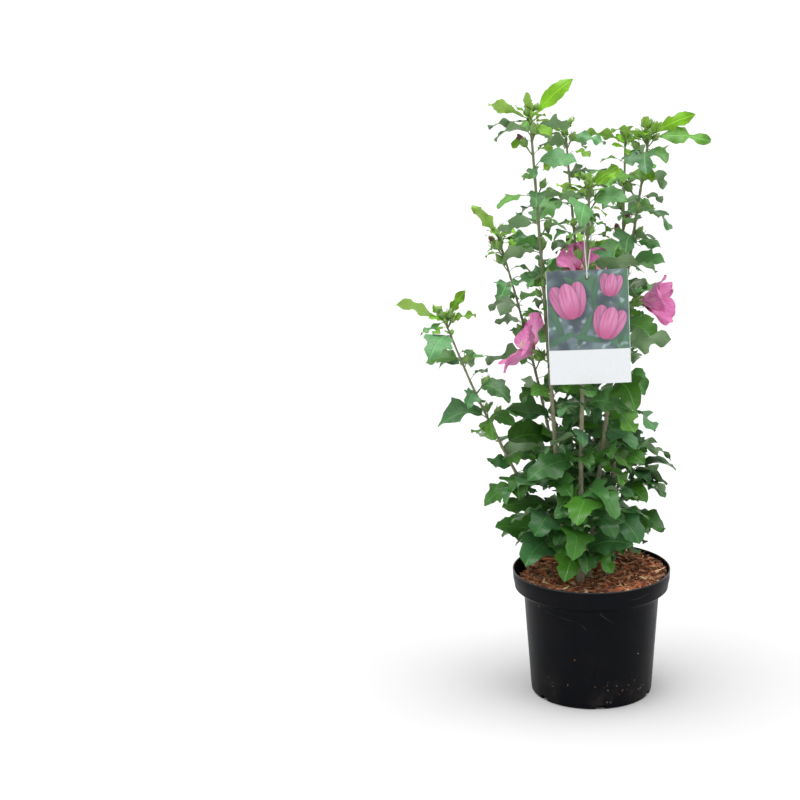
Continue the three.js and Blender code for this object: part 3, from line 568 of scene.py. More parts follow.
    def fine(self, stem):
        """Smaller leaves between the joints, small side sprays on the bough, and a tuft at the tip."""
        roll = dice(stem["seed"] + FINE_SEED)
        height = stem["tip"][2] - GROUND
        turn = roll() * TURN
        for k in range(FINE_SPRAYS):
            share = SPRAY_LOWEST + (stem["bare"] - SPRAY_LOWEST) * (k + roll()) / FINE_SPRAYS
            turn += SPIRAL
            self.twig(roll, stem, share, turn, SPRAY_RISE, FINE_SPRAY_LENGTH, FINE_SPRAY_LEAF, FINE_ROOM)
        joints = int((1 - stem["bare"]) * height / FINE_SPACING)
        for k in range(joints):
            share = (k + 0.5) / joints
            t = stem["bare"] + (1 - stem["bare"]) * share * FINE_REACH
            turn += SPIRAL
            length = FINE_LENGTH + (FINE_TOP_LENGTH - FINE_LENGTH) * share
            young = max(0.0, share * 4 - 3)
            stalk = PETIOLE * FINE_STALK
            self.draw_leaf(roll, stem, route(stem, t), turn, length, stalk, 1, FINE_ROOM, young)
            bud_turn, budding = turn + math.pi * roll(), roll()
            if share > FINE_BUD_FROM and budding < FINE_BUD_SHARE:
                size = 0.7 + 0.5 * budding / FINE_BUD_SHARE
                self.buds.append((route(stem, t), pointing(bud_turn, BUD_RISE * FINE_BUD_RISE), size))
        for k in range(TUFT_LEAVES):
            turn += SPIRAL
            rise = (30 + 45 * roll()) * DEG
            length = TUFT_LENGTH * (0.6 + 0.8 * roll())
            self.leaves.append({
                "root": route(stem, TUFT_SHARE + TUFT_STEP * k), "up": UP, "ahead": pointing(turn, 0),
                "rise": rise, "level": rise, "fall": rise - TUFT_DROOP, "length": length,
                "stalk": TUFT_STALK, "wide": TUFT_WIDE, "roll": (roll() - 0.5) * ROLL_SPREAD, "young": 1.0,
            })
        for k in range(CLUSTERS.get(stem["name"], 0)):
            turn += SPIRAL
            rise = (42 + 40 * roll()) * DEG
            root = route(stem, CLUSTER_SHARE + CLUSTER_STEP * k)
            self.buds.append((root, pointing(turn, rise), 0.7 + 0.35 * roll()))


def grow():
    """The whole shrub by the rule: the parts that the solids have come first, in the same order of draws."""
    growth = Growth()
    for stem in STEMS:
        growth.crown(stem)
    for stem in STEMS:
        for index in range(len(stem["sprays"])):
            growth.spray(stem, index)
    for stem in STEMS:
        growth.fine(stem)
    return growth


# Meshes from arrays.


def grid_faces(count, rows, columns, wrap=False, first=0):
    """The quads of count grids of rows by columns points. wrap joins the last column to the first."""
    last = columns if wrap else columns - 1
    i, j = np.meshgrid(np.arange(rows - 1), np.arange(last), indexing="ij")
    k = (j + 1) % columns
    quad = np.stack([i * columns + j, i * columns + k, (i + 1) * columns + k, (i + 1) * columns + j], -1)
    offsets = first + np.arange(count) * rows * columns
    return (quad.reshape(1, -1, 4) + offsets[:, None, None]).reshape(-1, 4)


def cap_faces(count, rows, columns, first=0):
    """One many-sided face at each end of count wrapped grids."""
    ring = np.arange(columns)
    offsets = first + np.arange(count)[:, None] * rows * columns
    return np.concatenate([ring[::-1] + offsets, ring + (rows - 1) * columns + offsets])


class Shape:
    """Points in millimetres, faces of any number of corners, UVs and one value for each point."""

    def __init__(self):
        self.points = []
        self.faces = []
        self.uvs = []
        self.values = []
        self.count = 0

    def grids(self, points, wrap=False, caps=False, uv=None, value=0.0):
        """Adds grids of points of the form count, rows, columns, 3."""
        count, rows, columns, _ = points.shape
        self.faces.append(grid_faces(count, rows, columns, wrap, self.count))
        if caps:
            self.faces.append(cap_faces(count, rows, columns, self.count))
        flat = points.reshape(-1, 3)
        self.points.append(flat)
        uv = np.zeros(2) if uv is None else uv
        self.uvs.append(np.broadcast_to(uv, points.shape[:3] + (2,)).reshape(-1, 2))
        value = np.asarray(value, float)
        value = value.reshape(value.shape + (1,) * (3 - value.ndim))
        self.values.append(np.broadcast_to(value, points.shape[:3]).reshape(-1))
        self.count += len(flat)
        return self

    def build(self, name, smooth=True):
        """The mesh object, at the origin, with its UV map named shape and its value attribute named shade."""
        mesh = bpy.data.meshes.new(name)
        points = np.concatenate(self.points) * MM
        sizes = np.concatenate([np.full(len(f), f.shape[1]) for f in self.faces])
        corners = np.concatenate([f.ravel() for f in self.faces])
        mesh.vertices.add(len(points))
        mesh.vertices.foreach_set("co", points.ravel())
        mesh.loops.add(len(corners))
        mesh.loops.foreach_set("vertex_index", corners)
        mesh.polygons.add(len(sizes))
        mesh.polygons.foreach_set("loop_start", np.concatenate([[0], np.cumsum(sizes)[:-1]]))
        mesh.polygons.foreach_set("use_smooth", np.full(len(sizes), smooth))
        mesh.update(calc_edges=True)
        mesh.uv_layers.new(name="shape").data.foreach_set("uv", np.concatenate(self.uvs)[corners].ravel())
        mesh.attributes.new("shade", "FLOAT", "POINT").data.foreach_set("value", np.concatenate(self.values))
        piece = bpy.data.objects.new(name, mesh)
        bpy.context.scene.collection.objects.link(piece)
        return piece


def tube(paths, radii, sides, reference, ripple=None):
    """Tubes along paths of the form count, steps, 3: each ring is a circle of its step's radius, square to
    the path, that starts from the direction square to the path and to the reference."""
    along = unit(np.gradient(paths, axis=1))
    reference = np.broadcast_to(np.asarray(reference, float), paths.shape)
    side = unit(np.cross(along, reference))
    other = np.cross(along, side)
    angle = np.linspace(0, TURN, sides, endpoint=False)
    circle = side[:, :, None] * np.cos(angle)[:, None] + other[:, :, None] * np.sin(angle)[:, None]
    size = np.asarray(radii, float)[..., None, None]
    if ripple is not None:
        size = size * ripple[..., None]
    return paths[:, :, None] + circle * size


def grid_uv(points, u, v):
    """A UV for each point of some grids, from two arrays that spread over the grids' rows and columns."""
    uv = np.zeros(points.shape[:3] + (2,))
    uv[..., 0] = u
    uv[..., 1] = v
    return uv


def stacked(items, key):
    """One entry of every item as an array."""
    return np.array([item[key] for item in items], float)


def blades(leaves, outline, across, wave, fold, seed):
    """Leaf or petal blades, one grid each. A point at share s along and v across lies on the centre line, an
    arc whose slope turns evenly from level to fall. It is moved sideways by v times the outline's half width.
    It is moved up by three things: a fold that grows with v, a wave that runs along the edge and grows with v
    squared, and a slow wave of the whole blade. The blade twists about its centre line as it goes. wave and
    fold are a low and a high value each. Gives the points, and their places on the flat leaf."""
    rng = np.random.default_rng(seed)
    n = len(leaves)
    root, up, ahead = stacked(leaves, "root"), stacked(leaves, "up"), stacked(leaves, "ahead")

    def column(key):
        return stacked(leaves, key)[:, None, None]

    def drawn(low, high):
        return rng.uniform(low, high, (n, 1, 1))

    rise, level, fall = column("rise"), column("level"), column("fall")
    length, wide, roll = column("length"), column("wide"), column("roll")
    centre, edge, half = (outline[..., k][:, :, None] for k in range(3))
    v = across[None, None, :]
    s = centre + np.abs(v) * (edge - centre)
    sway, twist, slow = drawn(-SWAY, SWAY), drawn(-TWIST, TWIST), drawn(-SLOW_WAVE, SLOW_WAVE)
    phase, waves = drawn(0, TURN), drawn(*EDGE_WAVES)
    sideways = length * (v * half * wide + sway * s**2)
    ripple = drawn(*wave) * v**2 * np.sin(TURN * waves * s + phase + 1.4 * np.sign(v)) * np.minimum(1, 3 * s)
    lift = length * (drawn(*fold) * np.abs(v) * half / 0.35 + ripple + slow * np.sin(TURN * 1.1 * s + phase))
    bend = fall - level
    slope = level + bend * s
    forward = length * (np.sin(slope) - np.sin(level)) / bend
    upward = length * (np.cos(level) - np.cos(slope)) / bend
    spun = roll + twist * (s - 0.3)
    side = np.cross(up, ahead)[:, None, None]
    up, ahead, root = up[:, None, None], ahead[:, None, None], root[:, None, None]
    flat = ahead * -np.sin(slope)[..., None] + up * np.cos(slope)[..., None]
    cos, sin = np.cos(spun)[..., None], np.sin(spun)[..., None]
    over = side * cos + flat * sin
    out = flat * cos - side * sin
    along = ahead * np.cos(rise)[..., None] + up * np.sin(rise)[..., None]
    base = root + along * stacked(leaves, "stalk")[:, None, None, None]
    points = base + ahead * forward[..., None] + up * upward[..., None]
    points = points + over * sideways[..., None] + out * lift[..., None]
    flat_place = np.stack(np.broadcast_arrays(v * half * wide, s), -1)
    return points, flat_place


def fits(points):
    """Which leaves stay clear of the label's card, the pot's rim and the mulch."""
    x, y, z = points[..., 0], points[..., 1], points[..., 2]
    beside = np.abs(x - CARD_CENTRE) > CARD_WIDTH / 2 + CLEAR_OF_SIDE
    past = (z > CARD_TOP + CLEAR_OF_SIDE) | (z < CARD_TOP - CARD_HEIGHT - CLEAR_OF_SIDE)
    cuts_card = ~beside & ~past & (y < CARD_PLANE + CLEAR_OF_FRONT)
    cuts_rim = (np.hypot(x, y) > RIM_RADIUS - CLEAR_OF_RIM) & (z < POT_HEIGHT + CLEAR_OVER_RIM)
    in_mulch = z < mulch_height(x, y) + CLEAR_OF_MULCH
    return ~(cuts_card | cuts_rim | in_mulch).any(axis=(1, 2))


def mulch_height(x, y):
    """The mulch's level: flat round the stems, rising towards the wall, with a dip at the left."""
    out = np.hypot(x, y)
    share = np.clip((out - MULCH_FLAT) / (RIM_RADIUS - MULCH_FLAT), 0, 1)
    facing = np.maximum(0, np.cos(np.arctan2(y, x) - DIP_ANGLE))
    return GROUND + (MULCH_EDGE - GROUND) * share - facing**4 * DIP_DEPTH * share


# Shader helpers.


class Tree:
    """A node tree with short calls: add makes a node, and its sockets take values or other sockets."""

    def __init__(self, tree):
        self.tree = tree

    def add(self, kind, settings=None, **inputs):
        """A new node. An input is given by its name, or by its number after an i."""
        node = self.tree.nodes.new("ShaderNode" + kind)
        for key, value in (settings or {}).items():
            setattr(node, key, value)
        for key, value in inputs.items():
            self.put(node.inputs[int(key[1:]) if key[1:].isdigit() else key.replace("_", " ")], value)
        return node

    def put(self, socket, value):
        """Links a socket to another, or sets its value. A colour of three numbers gets its alpha here."""
        if isinstance(value, bpy.types.NodeSocket):
            self.tree.links.new(value, socket)
        elif socket.type == "RGBA":
            socket.default_value = (*value, 1)
        else:
            socket.default_value = value

    def math(self, operation, a, b=0.0):
        return self.add("Math", {"operation": operation}, i0=a, i1=b).outputs[0]

    def plus(self, a, b):
        return self.math("ADD", a, b)

    def minus(self, a, b):
        return self.math("SUBTRACT", a, b)

    def times(self, a, b):
        return self.math("MULTIPLY", a, b)

    def larger(self, a, b):
        return self.math("MAXIMUM", a, b)

    def mix(self, factor, a, b, blend="MIX"):
        """Colour a turned to colour b by a factor, or by another way to blend."""
        node = self.add("Mix", {"data_type": "RGBA", "blend_type": blend})
        for socket, value in zip((node.inputs[0], node.inputs[6], node.inputs[7]), (factor, a, b)):
            self.put(socket, value)
        return node.outputs[2]

    def tint(self, colour, by):
        """A colour times another, channel by channel."""
        return self.mix(1.0, colour, by, "MULTIPLY")

    def span(self, value, low, high, new_low=0.0, new_high=1.0):
        """A value's range from low to high as a smooth step from new_low to new_high."""
        node = self.add("MapRange", {"interpolation_type": "SMOOTHSTEP"})
        for socket, number in zip(node.inputs, (value, low, high, new_low, new_high)):
            self.put(socket, number)
        return node.outputs[0]

    def noise(self, vector, scale, detail=4.0, rough=0.55, stretch=None):
        """Noise of a scale, drawn out along the axes whose stretch is small."""
        if stretch:
            vector = self.add("Mapping", Vector=vector, Scale=stretch).outputs[0]
        return self.add("TexNoise", Vector=vector, Scale=scale, Detail=detail, Roughness=rough).outputs[0]

    def bump(self, height, strength, distance):
        return self.add("Bump", Height=height, Strength=strength, Distance=distance).outputs[0]

    def grey(self, value):
        """A value as a colour with three equal channels."""
        return self.add("CombineColor", i0=value, i1=value, i2=value).outputs[0]

    def shape_uv(self):
        """The place on the piece's own surface."""
        return self.add("UVMap", {"uv_map": "shape"}).outputs[0]

    def shade(self):
        """The piece's own value: one number for each leaf or shred, or the share along a stem."""
        return self.add("Attribute", {"attribute_name": "shade"}).outputs["Fac"]

    def place(self):
        """The place in the object, in metres."""
        return self.add("TexCoord").outputs["Object"]

    def group(self, name, **inputs):
        """The outputs of a shader group, placed with its own values."""
        node = self.add("Group", {"node_tree": bpy.data.node_groups[name]})
        for key, value in inputs.items():
            self.put(node.inputs[key.replace("_", " ")], value)
        return node.outputs


def new_group(name, inputs, outputs):
    """An empty shader group with named inputs and outputs, as (tree, input sockets, output node)."""
    group = bpy.data.node_groups.new(name, "ShaderNodeTree")
    kinds = {"value": "NodeSocketFloat", "colour": "NodeSocketColor", "vector": "NodeSocketVector"}
    for key, kind in inputs.items():
        group.interface.new_socket(key, in_out="INPUT", socket_type=kinds[kind])
    for key, kind in outputs.items():
        group.interface.new_socket(key, in_out="OUTPUT", socket_type=kinds[kind])
    return Tree(group), group.nodes.new("NodeGroupInput").outputs, group.nodes.new("NodeGroupOutput")


def mottle_group():
    """Mottle: a colour lightened and darkened by two sizes of noise."""
    kinds = {"Place": "vector", "Colour": "colour", "Scale": "value", "Amount": "value"}
    t, given, out = new_group("Mottle", kinds, {"Colour": "colour"})
    coarse = t.noise(given["Place"], given["Scale"])
    fine = t.noise(given["Place"], t.times(given["Scale"], 7.0), 2.0)
    both = t.plus(t.times(coarse, 0.65), t.times(fine, 0.35))
    swing = t.times(t.minus(both, 0.5), t.times(given["Amount"], 4.0))
    t.put(out.inputs["Colour"], t.tint(given["Colour"], t.grey(t.plus(swing, 1.0))))


def specks_group():
    """Specks: a mask of small uneven spots. They are the cells of a Voronoi pattern whose number is low
    enough, and a noise shifts their places."""
    kinds = {"Place": "vector", "Scale": "value", "Share": "value", "Size": "value"}
    t, given, out = new_group("Specks", kinds, {"Mask": "value"})
    shift = t.add("TexNoise", Vector=given["Place"], Scale=280.0, Detail=2.0).outputs["Color"]
    shifted = {"operation": "MULTIPLY_ADD"}
    moved = t.add("VectorMath", shifted, i0=shift, i1=(0.007, 0.007, 0.007), i2=given["Place"])
    cells = t.add("TexVoronoi", Vector=moved.outputs[0], Scale=given["Scale"])
    chosen = t.math("LESS_THAN", t.add("SeparateColor", i0=cells.outputs["Color"]).outputs[0], given["Share"])
    ragged = t.times(t.noise(given["Place"], 900.0, 2.0), given["Size"])
    spot = t.math("LESS_THAN", cells.outputs["Distance"], ragged)
    t.put(out.inputs["Mask"], t.times(chosen, spot))


def veins_group():
    """Veins of a leaf from its flat place: the midrib, and side veins that slant forward from it."""
    t, given, out = new_group("Leaf veins", {"Flat": "vector"}, {"Vein": "value"})
    parts = t.add("SeparateXYZ", i0=given["Flat"]).outputs
    across = t.math("ABSOLUTE", parts[0])
    midrib = t.span(across, 0.02, 0.004)
    slant = t.minus(parts[1], t.times(across, 0.95))
    cell = t.math("ABSOLUTE", t.minus(t.math("FRACT", t.times(slant, 7.0)), 0.5))
    side = t.times(t.span(cell, 0.44, 0.5), t.span(across, 0.36, 0.05))
    t.put(out.inputs["Vein"], t.larger(midrib, t.times(side, 0.7)))


def material(name, **plain):
    """A new material as (material, tree, Principled shader), with the numbers that are the same all over."""
    made = bpy.data.materials.new(name)
    made.use_nodes = True
    shader = made.node_tree.nodes["Principled BSDF"]
    for key, value in plain.items():
        shader.inputs[key.replace("_", " ")].default_value = value
    return made, Tree(made.node_tree), shader


def dress(piece, finish, slot, *replaced):
    """Gives a piece its finish and its body, and hides the nodes that it stands for. slot is not used."""
    piece.data.materials.append(finish)
    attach(piece, "root")
    if replaced:
        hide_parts(*replaced)


def nodes_starting(*starts):
    """The solids whose names start in one of these ways."""
    return [name for name in NODES if name.startswith(starts)]


# Finishes. These colours are too small a part of a look to be settings. The first two tint the leaves.
LEAF_BLUE = (0.95, 0.97, 1.75)
LEAF_FRESH = (0.95, 1.02, 0.3)
LEAF_SPOT = (0.03, 0.03, 0.008)
BARK_PORE = (0.42, 0.36, 0.27)
BUD_RIB = (0.02, 0.05, 0.01)
SCRATCH = (0.07, 0.075, 0.08)
PRINT_SHADOW = (0.03, 0.045, 0.06)
PRINT_GLINT = (0.5, 0.64, 0.66)
PRINT_LEAF_FOOT = (0.05, 0.13, 0.08)


def leaf_finish(name, colour, under, roughness, vein):
    """A leaf: its own colour, bluer or fresher from leaf to leaf, with paler veins, a few brown spots, and a
    paler, duller underside."""
    made, t, shader = material(name, Specular_IOR_Level=0.42)
    veins = t.group("Leaf veins", Flat=t.shape_uv())
    fresh = t.math("FRACT", t.times(t.shade(), 13.0))
    tinted = t.tint(colour, t.mix(fresh, LEAF_BLUE, LEAF_FRESH))
    own = t.tint(tinted, t.grey(t.span(t.shade(), 0, 1, 0.76, 1.26)))
    mottled = t.group("Mottle", Place=t.place(), Colour=own, Scale=60.0, Amount=0.3)["Colour"]
    veined = t.mix(t.times(veins["Vein"], vein), mottled, tuple(c * 2.6 for c in colour))
    spots = t.group("Specks", Place=t.place(), Scale=170.0, Share=0.07, Size=0.3)["Mask"]
    veined = t.mix(t.times(spots, 0.7), veined, LEAF_SPOT)
    back = t.add("NewGeometry").outputs["Backfacing"]
    t.put(shader.inputs["Base Color"], t.mix(back, veined, under))
    sheen = t.noise(t.place(), 70.0)
    t.put(shader.inputs["Roughness"], t.span(sheen, 0.3, 0.7, roughness - 0.06, roughness + 0.08))
    t.put(shader.inputs["Normal"], t.bump(t.minus(1.0, veins["Vein"]), 0.5, 0.0009))
    return made


def bark_finish(settings):
    """Bark: grey-brown below, greener towards the tips, with fine streaks along the stem and pale pores."""
    made, t, shader = material("stem_bark")
    base = t.mix(t.span(t.shade(), 0.3, 0.75), settings.old_bark, settings.young_bark)
    streak = t.noise(t.shape_uv(), 3.0, 5.0, 0.6, (9.0, 1.6, 1.0))
    streaked = t.mix(t.span(streak, 0.35, 0.7, 0.0, 0.55), base, settings.bark_streak)
    pores = t.group("Specks", Place=t.place(), Scale=420.0, Share=0.16, Size=0.6)["Mask"]
    t.put(shader.inputs["Base Color"], t.mix(t.times(pores, 0.5), streaked, BARK_PORE))
    t.put(shader.inputs["Roughness"], t.span(streak, 0.3, 0.7, 0.55, 0.75))
    t.put(shader.inputs["Normal"], t.bump(streak, 0.5, 0.0006))
    return made


def mottled_finish(name, colour, scale, amount, roughness):
    """A smooth finish whose colour is mottled: green stalks, the flowers' columns, and the tie's plastic."""
    made, t, shader = material(name, Roughness=roughness)
    mottled = t.group("Mottle", Place=t.place(), Colour=colour, Scale=scale, Amount=amount)["Colour"]
    t.put(shader.inputs["Base Color"], mottled)
    return made


def petiole_finish(settings):
    """The finish of leaf stalks, bud stalks and green twigs."""
    return mottled_finish("petiole_green", settings.petiole, 60.0, 0.25, 0.5)


def bud_finish(name, colour, tip, roughness=0.5):
    """A bud or calyx: its colour turns to the tip's along its length, with faint ribs."""
    made, t, shader = material(name, Roughness=roughness)
    parts = t.add("SeparateXYZ", i0=t.shape_uv()).outputs
    graded = t.mix(t.span(parts[1], 0.2, 1.0), colour, tip)
    ribs = t.math("SINE", t.times(parts[0], TURN * 10))
    lined = t.mix(t.span(ribs, 0.2, 1.0, 0.0, 0.25), graded, BUD_RIB)
    mottled = t.group("Mottle", Place=t.place(), Colour=lined, Scale=160.0, Amount=0.25)["Colour"]
    t.put(shader.inputs["Base Color"], mottled)
    t.put(shader.inputs["Normal"], t.bump(ribs, 0.25, 0.0003))
    return made


def petal_finish(settings):
    """A petal: pale at its middle and deeper pink at both ends, with fine veins that fan out along it, and
    inside a crimson base with rays that run out of it."""
    made, t, shader = material("petal_pink", Roughness=0.55, Sheen_Weight=0.15)
    parts = t.add("SeparateXYZ", i0=t.shape_uv()).outputs
    across, along = parts[0], parts[1]
    fan = t.math("DIVIDE", across, t.plus(along, 0.12))
    ray = t.noise(t.add("CombineXYZ", i0=fan, i1=t.times(along, 0.25)).outputs[0], 16.0, 3.0, 0.6)
    pale = t.span(along, 0.75, 0.3)
    body = t.mix(t.times(pale, 0.7), settings.petal, settings.petal_pale)
    streaks = t.larger(t.span(ray, 0.42, 0.68, 0.0, 0.6), t.span(along, 0.5, 0.12, 0.0, 0.55))
    veined = t.mix(streaks, body, settings.petal_vein)
    reach = t.plus(along, t.times(t.minus(ray, 0.5), 0.22))
    inside = t.minus(1.0, t.add("NewGeometry").outputs["Backfacing"])
    eye = t.times(t.span(reach, 0.3, 0.16), inside)
    t.put(shader.inputs["Base Color"], t.mix(eye, veined, settings.petal_eye))
    t.put(shader.inputs["Normal"], t.bump(ray, 0.35, 0.0009))
    return made


def pot_finish(settings):
    """Black moulded plastic: satin with a soft grain and a polished lip. Dust gathers low down, with specks
    of soil and chalk, and a few hairline scratches follow the level lines of a wide noise."""
    made, t, shader = material("pot_plastic", Specular_IOR_Level=0.06, Coat_Roughness=0.2)
    place = t.place()
    height = t.add("SeparateXYZ", i0=place).outputs[2]
    low = t.plus(t.times(t.span(height, DUST_TOP * MM, 0.0), 0.4), 0.04)
    dust = t.times(t.span(t.noise(place, 22.0, 6.0, 0.7), 0.45, 0.75), low)
    dusty = t.mix(dust, settings.colour, settings.dust)
    line = t.math("ABSOLUTE", t.minus(t.noise(place, 11.0, 0.0), 0.5))
    scratch = t.times(t.span(line, 0.003, 0.001), t.span(t.noise(place, 28.0, 1.0), 0.58, 0.64))
    marked = t.mix(t.times(scratch, 0.5), dusty, SCRATCH)
    soil = t.group("Specks", Place=place, Scale=230.0, Share=0.2, Size=0.6)["Mask"]
    patch = t.span(t.noise(place, 14.0, 2.0), 0.5, 0.6)
    soil = t.times(t.times(soil, patch), t.span(height, SOIL_TOP * MM, 0.012))
    stray = t.group("Specks", Place=place, Scale=100.0, Share=0.04, Size=0.22)["Mask"]
    specks = t.larger(soil, stray)
    tone = t.mix(t.span(t.noise(place, 70.0, 2.0), 0.44, 0.6), settings.soil, settings.chalk)
    t.put(shader.inputs["Base Color"], t.mix(t.times(specks, 0.85), marked, tone))
    scuff = t.noise(place, 60.0, 6.0, 0.7, (1.0, 1.0, 0.12))
    dull = t.times(t.larger(dust, specks), 0.45)
    t.put(shader.inputs["Roughness"], t.plus(t.span(scuff, 0.35, 0.7, 0.32, 0.44), dull))
    lip = t.span(height, (POT_HEIGHT - POLISHED_LIP) * MM, (POT_HEIGHT - 0.3 * POLISHED_LIP) * MM)
    t.put(shader.inputs["Coat Weight"], lip)
    grain = t.plus(t.noise(place, 900.0, 2.0), t.times(specks, 1.5))
    t.put(shader.inputs["Normal"], t.bump(grain, 0.12, 0.0004))
    return made


def bark_chip_finish(name, colour):
    """Shredded bark: streaks along each shred and mottling between shreds."""
    made, t, shader = material(name, Roughness=0.85)
    streak = t.noise(t.shape_uv(), 5.0, 4.0, 0.65, (6.0, 0.8, 1.0))
    own = t.tint(colour, t.grey(t.span(t.shade(), 0, 1, 0.45, 1.6)))
    streaked = t.mix(t.span(streak, 0.4, 0.7, 0.0, 0.55), own, tuple(c * 0.3 for c in colour))
    mottled = t.group("Mottle", Place=t.place(), Colour=streaked, Scale=180.0, Amount=0.25)["Colour"]
    t.put(shader.inputs["Base Color"], mottled)
    t.put(shader.inputs["Normal"], t.bump(streak, 0.6, 0.0006))
    return made


def soil_finish(settings):
    """Potting mix: crumbs of two browns with a strong relief."""
    made, t, shader = material("potting_mix", Roughness=0.95)
    place = t.place()
    crumbs = t.noise(place, 320.0, 5.0, 0.7)
    colour = t.mix(t.span(crumbs, 0.35, 0.7), settings.soil, tuple(c * 2.6 for c in settings.soil))
    t.put(shader.inputs["Base Color"], colour)
    t.put(shader.inputs["Normal"], t.bump(crumbs, 0.9, 0.002))
    return made


# The print's slim leaves: place across and down, turn and half length, in parts of the card's height.
PRINT_LEAVES = [
    (-0.27, 0.45, 20, 0.17), (-0.03, 0.52, -24, 0.16), (0.08, 0.36, 32, 0.14), (0.29, 0.52, -14, 0.14),
    (-0.1, 0.12, 58, 0.12), (0.0, 0.6, 78, 0.14), (-0.24, 0.6, -64, 0.12), (0.06, 0.2, -8, 0.11),
]
# The print's blooms: place across and down, turn and half height, in parts of the card's height.
PRINT_BLOOMS = [(-0.16, 0.27, 12, 0.16), (0.17, 0.47, -18, 0.145), (0.2, 0.14, -10, 0.1)]
# Where the print stops at each side and at the bare band, how soft its ends are, and a place on the band.
PRINT_SIDE = 0.347
PRINT_FOOT = 0.6975
PRINT_SOFT = 0.0005
PRINT_BLANK = (0.0, -0.9)


def card_finish(settings):
    """The label's print. Its place on the card is its UV, in parts of the card's height from the middle of
    the top edge. Above a bare white band, a blurred slate and green ground carries three pink tulip-like
    blooms over slim leaves. A bloom is three overlapping ellipses, streaked along, deeper at the foot and
    each with a soft shadow round it."""
    made, t, shader = material("label_print", Coat_Weight=0.25, Coat_Roughness=0.15)
    uv = t.shape_uv()
    parts = t.add("SeparateXYZ", i0=uv).outputs
    down = t.times(parts[1], -1.0)

    def ellipse(x, y, turn, wide, tall):
        """A place within an ellipse as a vector, and its length, which is 1 at the ellipse's edge."""
        turned_by = (0, 0, turn * DEG)
        place = t.add("Mapping", {"vector_type": "TEXTURE"}, Vector=uv, Location=(x, -y, 0),
                      Rotation=turned_by, Scale=(wide, tall, 1)).outputs[0]
        return place, t.add("VectorMath", {"operation": "LENGTH"}, i0=place).outputs["Value"]

    def layer(picture, place, reach, tone, foot_tone, streak_scale):
        """Paints an ellipse over the picture, after the shadow round it."""
        shadow = t.times(t.span(reach, 1.4, 0.9), 0.4)
        picture = t.mix(shadow, picture, PRINT_SHADOW)
        foot = t.span(t.add("SeparateXYZ", i0=place).outputs[1], 0.4, -0.85)
        streak = t.span(t.noise(place, streak_scale, 3.0, 0.6, (1.0, 0.12, 1.0)), 0.35, 0.65, 0.0, 0.65)
        painted = t.mix(t.larger(t.times(foot, 0.8), streak), tone, foot_tone)
        return t.mix(t.span(reach, 1.02, 0.96), picture, painted)

    blur = t.noise(uv, 6.0, 2.0, 0.4)
    ground = t.mix(t.span(blur, 0.35, 0.65), settings.ground, settings.ground_light)
    ground = t.mix(t.span(t.noise(uv, 4.1, 1.0), 0.5, 0.68), ground, settings.leaf)
    glints = t.times(t.span(t.noise(uv, 13.0, 1.0, 0.3), 0.6, 0.75), 0.7)
    picture = t.mix(glints, ground, PRINT_GLINT)
    for x, y, turn, tall in PRINT_LEAVES:
        place, reach = ellipse(x, y, turn, 0.026, tall)
        picture = layer(picture, place, reach, settings.leaf, PRINT_LEAF_FOOT, 3.0)
    for x, y, turn, size in PRINT_BLOOMS:
        for offset, tone in ((-1, 0.78), (1, 0.88), (0, 1.0)):
            centre_x = x + math.cos(turn * DEG) * offset * size * 0.42
            centre_y = y - math.sin(turn * DEG) * offset * size * 0.42
            place, reach = ellipse(centre_x, centre_y, turn - offset * 16, size * 0.5, size)
            petal = tuple(c * tone for c in settings.bloom)
            picture = layer(picture, place, reach, petal, settings.bloom_foot, 4.0)
    margin = t.span(t.math("ABSOLUTE", parts[0]), PRINT_SIDE - PRINT_SOFT, PRINT_SIDE + PRINT_SOFT)
    below = t.span(down, PRINT_FOOT - 3 * PRINT_SOFT, PRINT_FOOT + 3 * PRINT_SOFT)
    bare = t.larger(below, margin)
    t.put(shader.inputs["Base Color"], t.mix(bare, picture, settings.band))
    t.put(shader.inputs["Roughness"], t.span(t.noise(t.place(), 40.0), 0.3, 0.7, 0.22, 0.34))
    return made


# Settings.


def colour_setting(name, description, value):
    """A colour that a user may change."""
    return FloatVectorProperty(name=name, description=description, default=value, subtype="COLOR", size=3,
                               min=0, max=1)


class ShrubPotSettings(bpy.types.PropertyGroup):
    """The pot's shape and finish."""

    wall: FloatProperty(name="Wall", description="Thickness of the wall", default=WALL * MM, unit="LENGTH")
    lip: FloatProperty(name="Lip", description="Radius of the rolled lip", default=1.0 * MM, unit="LENGTH")
    columns: IntProperty(name="Columns", description="Columns of faces between notches", default=26, min=8)
    colour: colour_setting("Plastic", "The black plastic", (0.004, 0.0045, 0.0064))
    dust: colour_setting("Dust", "Dust low on the wall", (0.07, 0.055, 0.045))
    soil: colour_setting("Soil", "Specks of soil", (0.2, 0.1, 0.045))
    chalk: colour_setting("Chalk", "Paler specks", (0.34, 0.33, 0.29))


class ShrubMulchSettings(bpy.types.PropertyGroup):
    """The potting mix and the bark shreds on it."""

    shreds: IntProperty(name="Shreds", description="Number of bark shreds", default=3300, min=0)
    longest: FloatProperty(name="Longest", description="Longest shred", default=34 * MM, unit="LENGTH")
    soil: colour_setting("Soil", "The mix under the bark", (0.04, 0.018, 0.01))
    red: colour_setting("Red bark", "The common red-brown shreds", (0.5, 0.172, 0.078))
    brown: colour_setting("Brown bark", "The darker shreds", (0.22, 0.076, 0.033))
    tan: colour_setting("Tan bark", "The lighter shreds", (0.76, 0.42, 0.23))
    pale: colour_setting("Pale wood", "A few splinters of pale wood", (0.85, 0.66, 0.4))


